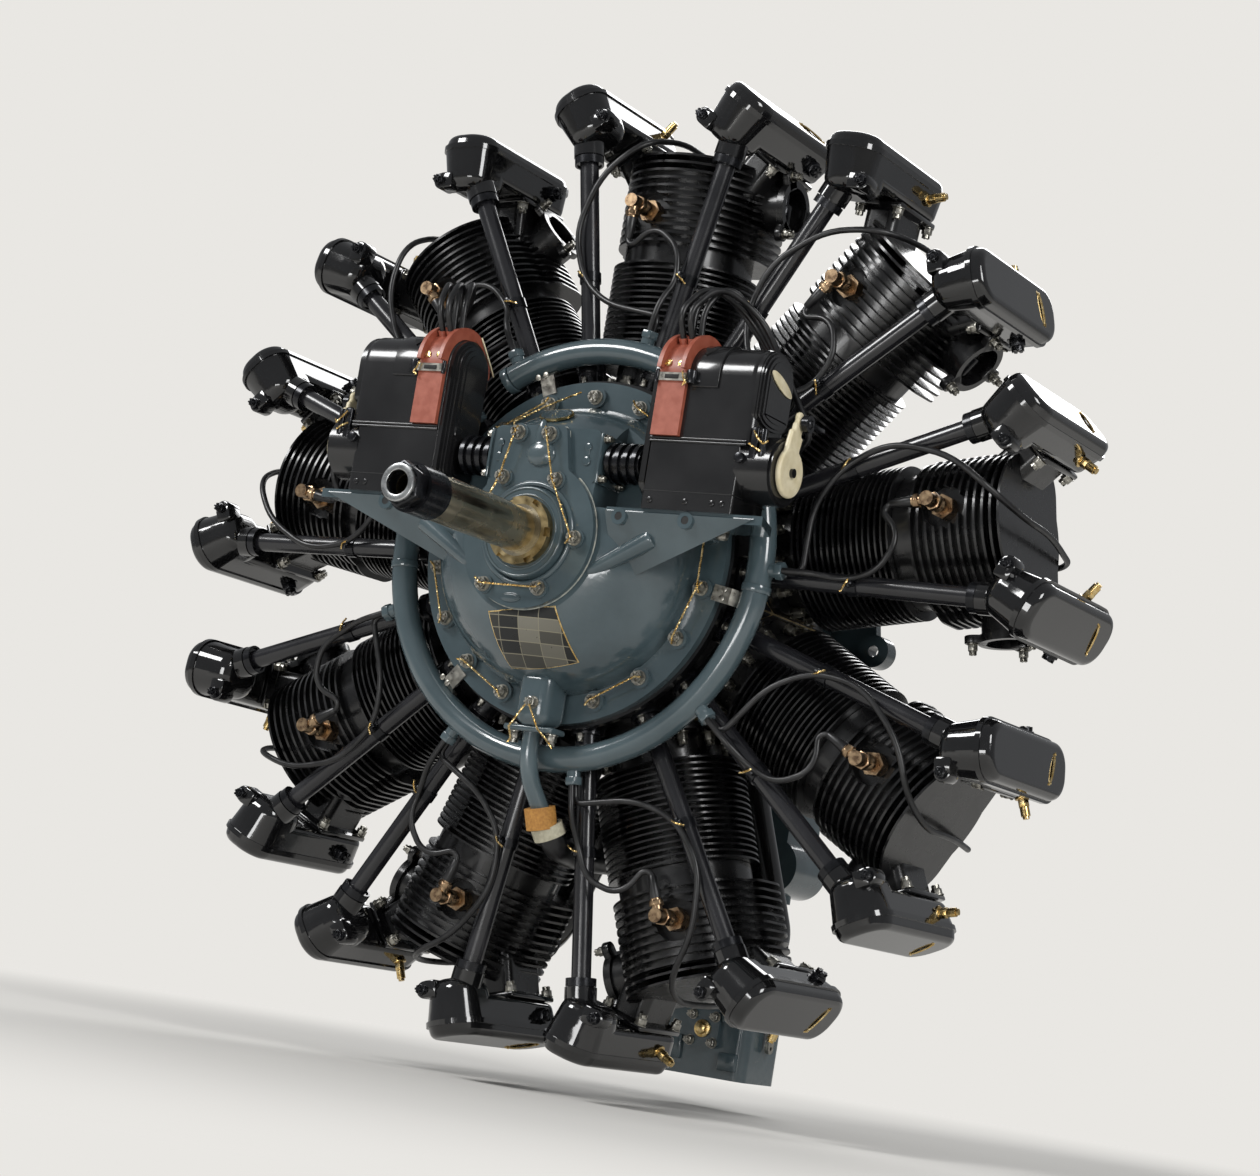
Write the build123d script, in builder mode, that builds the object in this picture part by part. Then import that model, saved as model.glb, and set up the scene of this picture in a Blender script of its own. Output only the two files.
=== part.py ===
"""Nine-cylinder air-cooled radial aircraft engine.

Frame of the files: millimetres, +Z up through cylinder 1, the crankshaft along Y with the propeller
end towards -Y, and the origin on the crankshaft axis in the plane of the rear mount face. The sizes
below count Y from the plane of the cylinders, and save() moves every finished piece to the frame of
the files. Every cylinder is made upright on +Z and turned about Y to its place, clockwise as seen from
the propeller end.
"""

from build123d import *
from math import cos, hypot, radians, sin, sqrt, tan
import os

os.makedirs("parts", exist_ok=True)

# ------------------------------------------------------------------ driving dimensions
# Whole engine
cylinder_count = 9
bore = 114.3
stroke = 139.7

# Clearances
running_clearance = 0.05       # radial, between a turning shaft and its bearing
seat_gap = 0.3                 # between pieces that do not bear on each other
sweep_gap = 3.0                # between a turning piece and what it passes

# Crankcase
case_flat = 200.0              # crankshaft axis to the flat that a cylinder stands on
case_half_width = 78.0
case_inner_radius = 168.0
case_corner_radius = 14.0
diaphragm_thickness = 12.0
skirt_bottom = 183.0           # crankshaft axis to the foot of the cylinder skirt

# Cam section and nose
cam_section_length = 60.0
cam_section_radius = 190.0
case_flange_radius = 200.0
case_flange_thickness = 10.0
flange_bolt_circle = 177.0
flange_bolt_count = 18
flange_boss_radius = 12.0
flange_boss_height = 5.0
nose_flange_radius = 196.0
nose_root_radius = 165.0
nose_tip_radius = 90.0
nose_length = 90.0
nose_bulge = 18.0
nose_inner_root_radius = 120.0
nose_inner_tip_radius = 66.0
nose_seat_plane = -186.0
thrust_seat_radius = 62.0
thrust_bearing_length = 22.0
nose_plate_radius = 83.0
nose_plate_thickness = 8.0
plate_hub_radius = 53.0
plate_middle = -8.0
plate_tab_half = 36.0
plate_tab_foot = 52.0
plate_boss_radius = 11.0
plate_boss_height = 3.0
plate_corner = 6.0
plate_bolts = [(-31, 112), (10, 112), (-42, 61), (27, 61), (63, -2), (27, -60), (-45, -60)]
nut_flats = 13.0
nut_washer = 1.5
nut_height = 6.0
nut_washer_radius = 8.5
nut_crown_radius = 5.5
nut_crown_height = 3.0
nut_slot_width = 2.2
plate_hub_height = 10.0

# Cylinder barrel
barrel_wall = 6.0
skirt_wall = 4.0
barrel_flange_width = 142.0
barrel_flange_length = 150.0
barrel_flange_thickness = 9.0
barrel_fin_radius = 86.5
barrel_fin_start = 241.0
barrel_fin_pitch = 7.2
barrel_fin_thickness = 2.2
barrel_fin_count = 17

# Cylinder head
head_joint = 373.0             # crankshaft axis to the foot of the head
head_collar_radius = 76.0
head_joint_overlap = 14.0
head_crown = 470.0
chamber_radius = 60.0
head_fin_radius = 85.0
head_fin_pitch = 9.4
head_fin_thickness = 2.8
head_fin_count = 12
head_fin_span = 184.0          # breadth of the fins where they reach over the exhaust port
head_fin_depth = 110.0
head_fin_corner = 40.0
port_height = 452.0            # crankshaft axis to the exhaust port axis
port_offset = 25.0             # exhaust port axis behind the cylinder axis
port_reach = 118.0
port_radius = 26.0
port_wall = 4.0
port_flange_radius = 34.0
port_flange_thickness = 9.0
port_depth = 22.0
intake_height = 440.0
intake_offset = 42.0           # intake port axis beside the cylinder axis
intake_reach = 84.0
plug_height = 420.0
plug_offset = 18.5
plug_seat = 62.0
plug_well_radius = 24.0
plug_thread_radius = 9.0
plug_thread_length = 20.0
plug_length = 42.0
plug_barrel_length = 28.0
plug_shoulder = 4.0
plug_tip_radius = 7.0
plug_hex_flats = 24.0
plug_hex_height = 12.0

# Valve gear housings
valve_tilt = 35.4
valve_crossing = 376.0         # crankshaft axis to the point where the two valve axes meet
rim_distance = 193.7           # from that point to the rocker box rim
box_front = 138.0
box_rear = 75.0
box_width = 68.0
box_corner_radius = 30.0
box_depth = 33.0
box_nose_depth = 51.0
box_nose_length = 78.0
box_taper = 8.0
box_wall = 4.0
box_floor = 8.0
box_bottom_round = 9.0
pot_bottom_round = 18.0
cover_height = 16.0
cover_lip = 1.5
cover_lip_thickness = 3.0
cover_wall = 2.0
cover_taper = 14.0
cover_round = 9.0
hollow_taper = 16.0
cover_hollow_taper = 24.0
tower_width = 42.0
tower_length = 72.0
pushrod_angle = 11.2
pushrod_plane = -105.0
pushrod_radius = 11.0
pushrod_foot = 214.0
pushrod_head = 492.0
ferrule_radius = 14.5
ferrule_length = 16.0
collar_radius = 18.0
collar_start = 484.0
collar_end = 506.0
tube_bore_radius = 8.0
guide_radius = 13.0
guide_flange_radius = 19.0
guide_pad = 197.0
guide_flange_thickness = 6.0
guide_depth = 8.0
guide_pad_margin = 2.0

# Crankshaft
throw_pin_radius = 29.0
journal_radius = 38.0
web_thickness = 24.0
web_inner = 34.0
web_rim = 10.0
web_waist = 22.0
counterweight_radius = 150.0
nose_shaft_radius = 37.0
prop_shaft_radius = 25.0
prop_shaft_front = -440.0
shaft_bore_radius = 13.0
shaft_end = -502.0
bearing_outer_radius = 55.0
bearing_lip_radius = 61.0
bearing_lip_thickness = 4.0
thrust_thread_radius = 29.0
thrust_nut_radius = 38.0
thrust_nut_length = 10.0
thrust_nut_slots = 6
end_thread_radius = 19.0
end_nut_radius = 27.0
end_nut_neck = -484.0
end_neck_radius = 19.5
end_lip_start = -494.0
end_lip_radius = 21.0
end_nut_slots = 6
end_slot_width = 9.0
end_slot_depth = 5.0
key_width = 8.0
key_height = 4.0
key_length = 120.0
key_start = 30.0

# Cam ring
cam_radius = 112.0
cam_lobe_lift = 8.0
cam_lobe_radius = 26.0
cam_rear = -84.0
cam_lobe_count = 4
cam_length = 34.0
cam_bore_radius = 92.0
cam_hub_wall = 12.0

# Magneto drive
drive_plane = -215.0
drive_height = 90.0
drive_shaft_radius = 9.0
tower_half_width = 70.0
tower_bottom = 60.0
tower_top = 122.0
tower_rear = -188.0
tower_corner = 10.0
drive_bearing_length = 16.0
coupling_radius = 19.0
coupling_start = 74.0
coupling_end = 118.0
coupling_ribs = 4
coupling_rib_width = 5.0
coupling_rib_height = 3.5

# Magnetos
magneto_inner = 138.5
magneto_outer = 250.5
magneto_front = -251.0
magneto_rear = -179.0
magneto_foot = 36.0
magneto_rim = 4.5
magneto_seam = 112.0
magneto_top = 222.0
end_drum_radius = 37.0
end_drum_reach = 290.0
drum_step = 3.0
hood_overhang = 12.0
cap_dome = 12.0
cap_taper = 30.0
cap_round = 5.0
block_inner = 141.0
block_outer = 175.0
block_foot = 116.0
block_thickness = 6.0
block_rib = 8.0
block_rib_width = 5.0
strap_height = 180.0
strap_width = 9.0
strap_thickness = 2.0
strap_overhang = 4.0
spoon_radius = 27.0
spoon_reach = 62.0
spoon_shoulder_half = 21.6
spoon_thickness = 7.0
spoon_pin_radius = 5.0
spoon_tip_shift = 5.0
spoon_tip_width = 12.0

# Magneto shelf
shelf_thickness = 10.0
shelf_inner = 95.0
shelf_outer = 288.0
shelf_outer_rear = 264.0
shelf_front = -246.0
shelf_rear = -180.0
shelf_boss_radius = 9.5
shelf_boss_proud = 2.0
shelf_boss_near = 113.0
shelf_boss_far = 196.0
web_foot_x = 122.0
web_foot_drop = 67.5
web_foot_inner_x = 97.6
web_plate_thickness = 10.0
web_slope = 27.3

# Ignition ring
ring_radius = 234.6
ring_plane = -138.0
ring_tube_radius = 15.0
ring_tube_wall = 1.5
ring_start = -32.0
ring_sweep = 343.0
outlet_angle = 10.6
outlet_radius = 8.0
outlet_reach = 262.0
lead_spacing = 4.0
elbow_radius = 8.0
elbow_length = 16.0
elbow_reach = 22.0
clip_radius = 335.0
clip_thickness = 1.5
clip_length = 12.0
lead_inlet_angles = (54.5, 57.5, 60.5, 63.5)
block_socket_places = ((152, 5), (153, 30), (163, 5), (164, 30))
block_socket_reach = 48.0
block_socket_radius = 5.0
lead_radius = 3.5
bracket_thickness = 2.0
bracket_width = 18.0
bracket_foot = 190.0
bracket_joggle = 7.0
bracket_seat_half = 4.0
bracket_angles = (100, 220, 340)

# Rear sections
induction_length = 82.0
induction_radius = 190.0
intake_plane = 116.0
intake_pipe_radius = 21.0
intake_pipe_wall = 2.0
intake_bend = 28.0
intake_foot = 165.0
intake_boss_height = 15.0
mount_face = 152.0
mount_circle = 254.0
mount_hole_radius = 6.5
mount_flange_thickness = 12.0
mount_boss_radius = 19.0
mount_boss_height = 22.0
rear_cover_radius = 150.0
rear_cover_length = 150.0
rear_pad_radius = 70.0
cover_flange_width = 15.0
cover_shoulder = 12.0
cover_end_step = 44.0
cover_shoulder_share = 0.6
intake_boss_wall = 6.0
mount_flange_lap = 5.0
shaft_way_radius = 50.0

# Oil and air
oil_pipe_radius = 10.0
oil_boss_plane = -172.0
oil_boss_foot = 188.0
oil_boss_radius = 16.0
oil_hose_radius = 14.0
oil_inlet_x = 5.0
oil_inlet_z = -322.0
sump_front = 214.0
sump_rear = 294.0
sump_top = -230.0
sump_lobe_centre = -300.0
sump_lobe_radius = 34.0
sump_lobe_pitch = 58.0
sump_lobe_count = 5
sump_neck_width = 120.0
sump_corner = 12.0
sump_round = 8.0
sump_plug_radius = 11.0
sump_plug_length = 12.0
sump_plug_lap = 4.0
hose_stub_wall = 5.0
hose_stub_length = 12.0
duct_front = 322.0
duct_rear = 402.0
duct_width = 90.0
duct_flange_thickness = 8.0
duct_corner = 25.0
duct_root = 42.0
carburettor_width = 120.0
carburettor_front = 327.0
carburettor_rear = 420.0
carburettor_corner = 14.0
carburettor_boss_width = 44.0
carburettor_boss_corner = 6.0
carburettor_boss_height = 6.0
carburettor_boss_middle = -504.0
throttle_height = -478.0
throttle_spacing = 29.0
throttle_gap = 0.6
throttle_disc_thickness = 1.6
throttle_shaft_radius = 4.0
throttle_lever_length = 38.0
throttle_lever_thickness = 5.0
throttle_lever_width = 14.0
throttle_eye_radius = 2.5
carburettor_top = -430.0
carburettor_bottom = -562.0
throttle_bore_radius = 27.0

# ------------------------------------------------------------------ sizes that follow
pitch_angle = 360 / cylinder_count
bore_radius = bore / 2
throw = stroke / 2
skirt_radius = bore_radius + skirt_wall
barrel_radius = bore_radius + barrel_wall
skirt_hole_radius = skirt_radius + running_clearance
head_foot = head_joint - head_joint_overlap
cam_front = -case_half_width - cam_section_length
nose_flange_front = cam_front - case_flange_thickness
nose_front = nose_flange_front - nose_length
plate_front = nose_front - nose_plate_thickness
hub_front = plate_front - plate_hub_height
case_outer = case_flat / cos(radians(pitch_angle / 2))
bearing_lip_start = case_half_width - diaphragm_thickness - bearing_lip_thickness
rear_face = case_half_width + induction_length
rear_end = rear_face + rear_cover_length
throttle_plane = (carburettor_front + carburettor_rear) / 2
box_middle = (box_rear - box_front) / 2
pot_middle = box_nose_length / 2 - box_front
box_length = box_front + box_rear
tilt_sin = sin(radians(valve_tilt))
tilt_cos = cos(radians(valve_tilt))
rim_plane = Plane(
    origin=(tilt_sin * rim_distance, 0, valve_crossing + tilt_cos * rim_distance),
    x_dir=(tilt_cos, 0, -tilt_sin),
    z_dir=(tilt_sin, 0, tilt_cos),
)
shelf_web_plane = Plane(
    origin=(0, shelf_front, magneto_foot - shelf_thickness),
    x_dir=(1, 0, 0),
    z_dir=(0, -cos(radians(web_slope)), -sin(radians(web_slope))),
)
web_top = (shelf_thickness - web_plate_thickness * sin(radians(web_slope))) / cos(radians(web_slope))
pocket_rear = drive_plane + coupling_radius + coupling_rib_height + sweep_gap
pocket_middle = (shelf_front + pocket_rear) / 2
magneto_middle = (magneto_front + magneto_rear) / 2
hood_radius = (magneto_rear - magneto_front) / 2
hood_centre = magneto_top - hood_radius

cylinder_places = [Location((0, 0, 0), (0, pitch_angle * k, 0)) for k in range(cylinder_count)]
gap_places = [Location((0, 0, 0), (0, pitch_angle * (k + 0.5), 0)) for k in range(cylinder_count)]
pushrod_places = [
    Location((0, pushrod_plane, 0), (0, pitch_angle * k + side * pushrod_angle, 0))
    for k in range(cylinder_count)
    for side in (-1, 1)
]


def save(piece, name):
    """Move a finished piece so that the rear mount face is at Y 0, label it and write its file."""
    placed = piece.moved(Location((0, -mount_face, 0)))
    placed.label = name
    export_step(placed, f"parts/{name}.step")


def ring_point(angle, radius, y):
    """Point at a clock angle in degrees from +Z, clockwise seen from the propeller end."""
    return (radius * sin(radians(angle)), y, radius * cos(radians(angle)))


# ------------------------------------------------------------------ crankcase
def crankcase_half(side):
    """One half of the main crankcase: side is -1 at the propeller end and 1 at the rear."""
    with BuildPart() as half:
        with BuildSketch(Plane.XZ) as wall:
            RegularPolygon(case_flat, cylinder_count, major_radius=False, rotation=90 - pitch_angle / 2)
            fillet(wall.vertices(), case_corner_radius)
            Circle(case_inner_radius, mode=Mode.SUBTRACT)
        extrude(amount=-side * case_half_width)
        with BuildSketch(Plane.XZ.offset(-side * case_half_width)) as diaphragm:
            Circle(case_inner_radius)
            Circle(bearing_outer_radius, mode=Mode.SUBTRACT)
        extrude(amount=side * diaphragm_thickness)
        with Locations(*cylinder_places):
            Cylinder(
                skirt_hole_radius,
                case_outer,
                align=(Align.CENTER, Align.CENTER, Align.MIN),
                mode=Mode.SUBTRACT,
            )
    return half


crankcase_front = crankcase_half(-1)
crankcase_rear = crankcase_half(1)
save(crankcase_front.part, "crankcase_front")
save(crankcase_rear.part, "crankcase_rear")

# Cam section: the ring in front of the main case that carries the tappet guides
with BuildPart() as cam_case:
    with BuildSketch(Plane.XY) as section:
        with BuildLine():
            Polyline(
                (case_inner_radius, -case_half_width),
                (cam_section_radius, -case_half_width),
                (cam_section_radius, cam_front + case_flange_thickness),
                (case_flange_radius, cam_front + case_flange_thickness),
                (case_flange_radius, cam_front),
                (case_inner_radius, cam_front),
                close=True,
            )
        make_face()
    revolve(axis=Axis.Y)
    with Locations(*[place * Location((0, 0, case_inner_radius)) for place in pushrod_places]):
        Cylinder(
            guide_flange_radius + guide_pad_margin,
            guide_pad - case_inner_radius,
            align=(Align.CENTER, Align.CENTER, Align.MIN),
        )
    with BuildSketch(Plane.XZ.offset(case_half_width)) as inside:
        Circle(case_inner_radius)
    extrude(amount=cam_section_length, mode=Mode.SUBTRACT)
    with Locations(*pushrod_places):
        Cylinder(
            guide_radius,
            case_flat * 2,
            align=(Align.CENTER, Align.CENTER, Align.MIN),
            mode=Mode.SUBTRACT,
        )
save(cam_case.part, "cam_case")

# Tappet guide with the gland that takes the foot of a push rod tube
with BuildPart() as tappet_guide:
    with BuildSketch(Plane.XZ.offset(-pushrod_plane)) as section:
        with BuildLine():
            Polyline(
                (tube_bore_radius, case_inner_radius - guide_depth),
                (guide_radius, case_inner_radius - guide_depth),
                (guide_radius, guide_pad),
                (guide_flange_radius, guide_pad),
                (guide_flange_radius, guide_pad + guide_flange_thickness),
                (ferrule_radius, guide_pad + guide_flange_thickness),
                (ferrule_radius, pushrod_foot),
                (tube_bore_radius, pushrod_foot),
                close=True,
            )
        make_face()
    revolve(axis=Axis((0, pushrod_plane, 0), (0, 0, 1)))
with BuildPart() as tappet_guides:
    with Locations(*[place * Location((0, -pushrod_plane, 0)) for place in pushrod_places]):
        add(tappet_guide.part)
save(tappet_guides.part, "tappet_guides")

# Push rod cover tubes, each with a ferrule at both ends
with BuildPart() as pushrod_tube:
    with BuildSketch(Plane.XZ.offset(-pushrod_plane)) as section:
        with BuildLine():
            Polyline(
                (tube_bore_radius, pushrod_foot),
                (ferrule_radius, pushrod_foot),
                (ferrule_radius, pushrod_foot + ferrule_length),
                (pushrod_radius, pushrod_foot + ferrule_length),
                (pushrod_radius, pushrod_head - ferrule_length),
                (ferrule_radius, pushrod_head - ferrule_length),
                (ferrule_radius, pushrod_head),
                (tube_bore_radius, pushrod_head),
                close=True,
            )
        make_face()
    revolve(axis=Axis((0, pushrod_plane, 0), (0, 0, 1)))

with BuildPart() as pushrod_tubes:
    with Locations(*[place * Location((0, -pushrod_plane, 0)) for place in pushrod_places]):
        add(pushrod_tube.part)
save(pushrod_tubes.part, "pushrod_tubes")

# ------------------------------------------------------------------ cylinder
# Steel barrel: a turned comb of fins above the holding-down flange
with BuildPart() as barrel:
    with BuildSketch(Plane.XZ) as section:
        with BuildLine():
            Polyline(
                (bore_radius, skirt_bottom),
                (skirt_radius, skirt_bottom),
                (skirt_radius, case_flat),
                (barrel_radius, case_flat),
                (barrel_radius, head_foot - barrel_flange_thickness),
                (head_collar_radius - barrel_wall, head_foot - barrel_flange_thickness),
                (head_collar_radius - barrel_wall, head_foot),
                (barrel_radius, head_foot),
                (barrel_radius, head_joint),
                (bore_radius, head_joint),
                close=True,
            )
        make_face()
        for row in range(barrel_fin_count):
            with Locations((bore_radius + skirt_wall, barrel_fin_start + row * barrel_fin_pitch)):
                Rectangle(
                    barrel_fin_radius - bore_radius - skirt_wall,
                    barrel_fin_thickness,
                    align=(Align.MIN, Align.MIN),
                )
    revolve(axis=Axis.Z)
    with BuildSketch(Plane.XY.offset(case_flat)) as foot:
        RectangleRounded(barrel_flange_width, barrel_flange_length, barrel_flange_width / 4)
        Circle(bore_radius, mode=Mode.SUBTRACT)
    extrude(amount=barrel_flange_thickness)

head_fin_planes = [
    Plane.XY.offset(head_joint + (row + 1) * head_fin_pitch) for row in range(head_fin_count)
]

# Cast head: crown, collar round the barrel, two valve towers, ports, fins and spark plug seats
with BuildPart() as head:
    with BuildSketch(Plane.XZ) as section:
        with BuildLine():
            Polyline(
                (0, head_foot),
                (head_collar_radius, head_foot),
                (head_collar_radius, head_crown),
                (0, head_crown),
                close=True,
            )
        make_face()
    revolve(axis=Axis.Z)
    for side in (-1, 1):
        tower_plane = Plane(
            origin=(side * tilt_sin * chamber_radius, 0, valve_crossing + tilt_cos * chamber_radius),
            x_dir=(tilt_cos, 0, -side * tilt_sin),
            z_dir=(side * tilt_sin, 0, tilt_cos),
        )
        with BuildSketch(tower_plane) as tower:
            with Locations((0, port_offset / 2)):
                RectangleRounded(tower_width, tower_length, tower_width / 4)
        extrude(amount=rim_distance - box_depth - chamber_radius)
    with BuildSketch(*head_fin_planes) as fins:
        Circle(head_fin_radius)
        with Locations((0, port_offset)):
            RectangleRounded(head_fin_span, head_fin_depth, head_fin_corner)
    extrude(amount=head_fin_thickness)
    for y_side in (-1, 1):
        well_plane = Plane(
            origin=(y_side * plug_offset, y_side * plug_seat, plug_height),
            x_dir=(1, 0, 0),
            z_dir=(0, y_side, 0),
        )
        with BuildSketch(well_plane) as well:
            Circle(plug_well_radius)
        extrude(amount=head_fin_radius, mode=Mode.SUBTRACT)
    with Locations(Location((0, port_offset, port_height), (0, 90, 0))):
        Cylinder(port_radius + port_wall, port_reach, align=(Align.CENTER, Align.CENTER, Align.MIN))
    with Locations(Location((port_reach, port_offset, port_height), (0, 90, 0))):
        Cylinder(port_flange_radius, port_flange_thickness, align=(Align.CENTER, Align.CENTER, Align.MAX))
    with Locations(Location((-intake_offset, intake_reach, intake_height), (90, 0, 0))):
        Cylinder(port_radius + port_wall, intake_reach, align=(Align.CENTER, Align.CENTER, Align.MIN))
    with BuildSketch(Plane.XZ) as cavity:
        with BuildLine():
            Line((0, head_foot), (barrel_radius + running_clearance, head_foot))
            Line(
                (barrel_radius + running_clearance, head_foot),
                (barrel_radius + running_clearance, head_joint),
            )
            Line((barrel_radius + running_clearance, head_joint), (chamber_radius, head_joint))
            RadiusArc((chamber_radius, head_joint), (0, head_joint + chamber_radius), -chamber_radius)
            Line((0, head_joint + chamber_radius), (0, head_foot))
        make_face()
    revolve(axis=Axis.Z, mode=Mode.SUBTRACT)
    with Locations(Location((port_reach, port_offset, port_height), (0, 90, 0))):
        Cylinder(port_radius, port_depth, align=(Align.CENTER, Align.CENTER, Align.MAX), mode=Mode.SUBTRACT)
    with Locations(Location((-intake_offset, intake_reach, intake_height), (90, 0, 0))):
        Cylinder(
            intake_pipe_radius + seat_gap,
            port_depth,
            align=(Align.CENTER, Align.CENTER, Align.MIN),
            mode=Mode.SUBTRACT,
        )
    for y_side in (-1, 1):
        plug_seat_place = Location(
            (y_side * plug_offset, y_side * plug_seat, plug_height), (90 * y_side, 0, 0)
        )
        with Locations(plug_seat_place):
            Cylinder(
                plug_thread_radius + seat_gap,
                plug_seat,
                align=(Align.CENTER, Align.CENTER, Align.MIN),
                mode=Mode.SUBTRACT,
            )

for k in range(cylinder_count):
    save(barrel.part.rotate(Axis.Y, pitch_angle * k), f"cylinder_barrel_{k + 1}")
    save(head.part.rotate(Axis.Y, pitch_angle * k), f"cylinder_head_{k + 1}")

# Spark plugs: shell, hexagon and barrel, one at the front and one at the rear of each head
with BuildPart() as spark_plug:
    with BuildSketch(Plane.XZ) as section:
        with BuildLine():
            Polyline(
                (0, -plug_thread_length),
                (plug_thread_radius, -plug_thread_length),
                (plug_thread_radius, 0),
                (plug_hex_flats / 2, 0),
                (plug_hex_flats / 2, plug_shoulder),
                (plug_thread_radius, plug_shoulder),
                (plug_thread_radius, plug_barrel_length),
                (plug_tip_radius, plug_barrel_length + plug_shoulder),
                (plug_tip_radius, plug_length),
                (0, plug_length),
                close=True,
            )
        make_face()
    revolve(axis=Axis.Z)
    with BuildSketch(Plane.XY.offset(plug_shoulder)) as nut:
        RegularPolygon(plug_hex_flats / 2, 6, major_radius=False)
    extrude(amount=plug_hex_height)

plug_places = [
    place * Location((side * plug_offset, side * plug_seat, plug_height), (-90 * side, 0, 0))
    for place in cylinder_places
    for side in (-1, 1)
]
with BuildPart() as spark_plugs:
    with Locations(*plug_places):
        add(spark_plug.part)
save(spark_plugs.part, "spark_plugs")

# ------------------------------------------------------------------ rocker housings
# Box that carries the rocker: a tapered tub with rounded lower edges, and a deeper pot at the push rod end
rim_axis = Axis(rim_plane.origin, rim_plane.z_dir)
with BuildPart() as rocker_tub:
    with BuildSketch(rim_plane) as tub:
        with Locations((0, box_middle)):
            RectangleRounded(box_width, box_length, box_corner_radius)
    extrude(amount=-box_depth, taper=box_taper)
    fillet(rocker_tub.faces().sort_by(rim_axis)[0].edges(), box_bottom_round)
with BuildPart() as rocker_pot:
    with BuildSketch(rim_plane) as pot:
        with Locations((0, pot_middle)):
            RectangleRounded(box_width, box_nose_length, box_corner_radius)
    extrude(amount=-box_nose_depth, taper=box_taper)
    fillet(rocker_pot.faces().sort_by(rim_axis)[0].edges(), pot_bottom_round)
with BuildPart() as rocker_box:
    add(rocker_tub.part)
    add(rocker_pot.part)
    with BuildSketch(rim_plane) as bead:
        with Locations((0, box_middle)):
            RectangleRounded(
                box_width + 2 * cover_lip, box_length + 2 * cover_lip, box_corner_radius + cover_lip
            )
    extrude(amount=-cover_lip_thickness)
    with Locations(Location((0, pushrod_plane, 0), (0, pushrod_angle, 0)) * Location((0, 0, collar_start))):
        Cylinder(collar_radius, collar_end - collar_start, align=(Align.CENTER, Align.CENTER, Align.MIN))
    with BuildSketch(rim_plane) as tub_hollow:
        with Locations((0, box_middle)):
            RectangleRounded(
                box_width - 2 * box_wall, box_length - 2 * box_wall, box_corner_radius - box_wall
            )
    extrude(amount=-(box_depth - box_floor), taper=hollow_taper, mode=Mode.SUBTRACT)
    with BuildSketch(rim_plane) as pot_hollow:
        with Locations((0, pot_middle)):
            RectangleRounded(
                box_width - 2 * box_wall, box_nose_length - 2 * box_wall, box_corner_radius - box_wall
            )
    extrude(amount=-(box_nose_depth - box_floor), taper=hollow_taper, mode=Mode.SUBTRACT)
    with Locations(Location((0, pushrod_plane, 0), (0, pushrod_angle, 0)) * Location((0, 0, collar_start))):
        Cylinder(
            ferrule_radius + seat_gap,
            pushrod_head - collar_start,
            align=(Align.CENTER, Align.CENTER, Align.MIN),
            mode=Mode.SUBTRACT,
        )
        Cylinder(
            tube_bore_radius,
            collar_end,
            align=(Align.CENTER, Align.CENTER, Align.MIN),
            mode=Mode.SUBTRACT,
        )

# Pressed cover: a domed top over the lip that lies on the rim of the box
with BuildPart() as rocker_cover:
    with BuildSketch(rim_plane.offset(cover_lip_thickness)) as dome:
        with Locations((0, box_middle)):
            RectangleRounded(box_width - cover_lip, box_length - cover_lip, box_corner_radius - cover_lip / 2)
    extrude(amount=cover_height - cover_lip_thickness, taper=cover_taper)
    fillet(rocker_cover.faces().sort_by(rim_axis)[-1].edges(), cover_round)
    with BuildSketch(rim_plane) as lip:
        with Locations((0, box_middle)):
            RectangleRounded(
                box_width + 2 * cover_lip, box_length + 2 * cover_lip, box_corner_radius + cover_lip
            )
    extrude(amount=cover_lip_thickness)
    with BuildSketch(rim_plane) as hollow:
        with Locations((0, box_middle)):
            RectangleRounded(
                box_width - 2 * box_wall, box_length - 2 * box_wall, box_corner_radius - box_wall
            )
    extrude(
        amount=cover_height - cover_wall - cover_lip_thickness, taper=cover_hollow_taper, mode=Mode.SUBTRACT
    )

rocker_box_left = mirror(rocker_box.part, about=Plane.YZ)
rocker_cover_left = mirror(rocker_cover.part, about=Plane.YZ)
with BuildPart() as rocker_boxes:
    with Locations(*cylinder_places):
        add(rocker_box.part)
        add(rocker_box_left)
save(rocker_boxes.part, "rocker_boxes")
with BuildPart() as rocker_covers:
    with Locations(*cylinder_places):
        add(rocker_cover.part)
        add(rocker_cover_left)
save(rocker_covers.part, "rocker_covers")

# ------------------------------------------------------------------ nose
flange_bolt_angles = [
    k * 360 / flange_bolt_count for k in range(flange_bolt_count) if 2 * k != flange_bolt_count
]
nose_side = hypot(nose_length, nose_root_radius - nose_tip_radius)
bulge_middle = (
    (nose_root_radius + nose_tip_radius) / 2 + nose_bulge * nose_length / nose_side,
    (nose_flange_front + nose_front) / 2 - nose_bulge * (nose_root_radius - nose_tip_radius) / nose_side,
)

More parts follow.
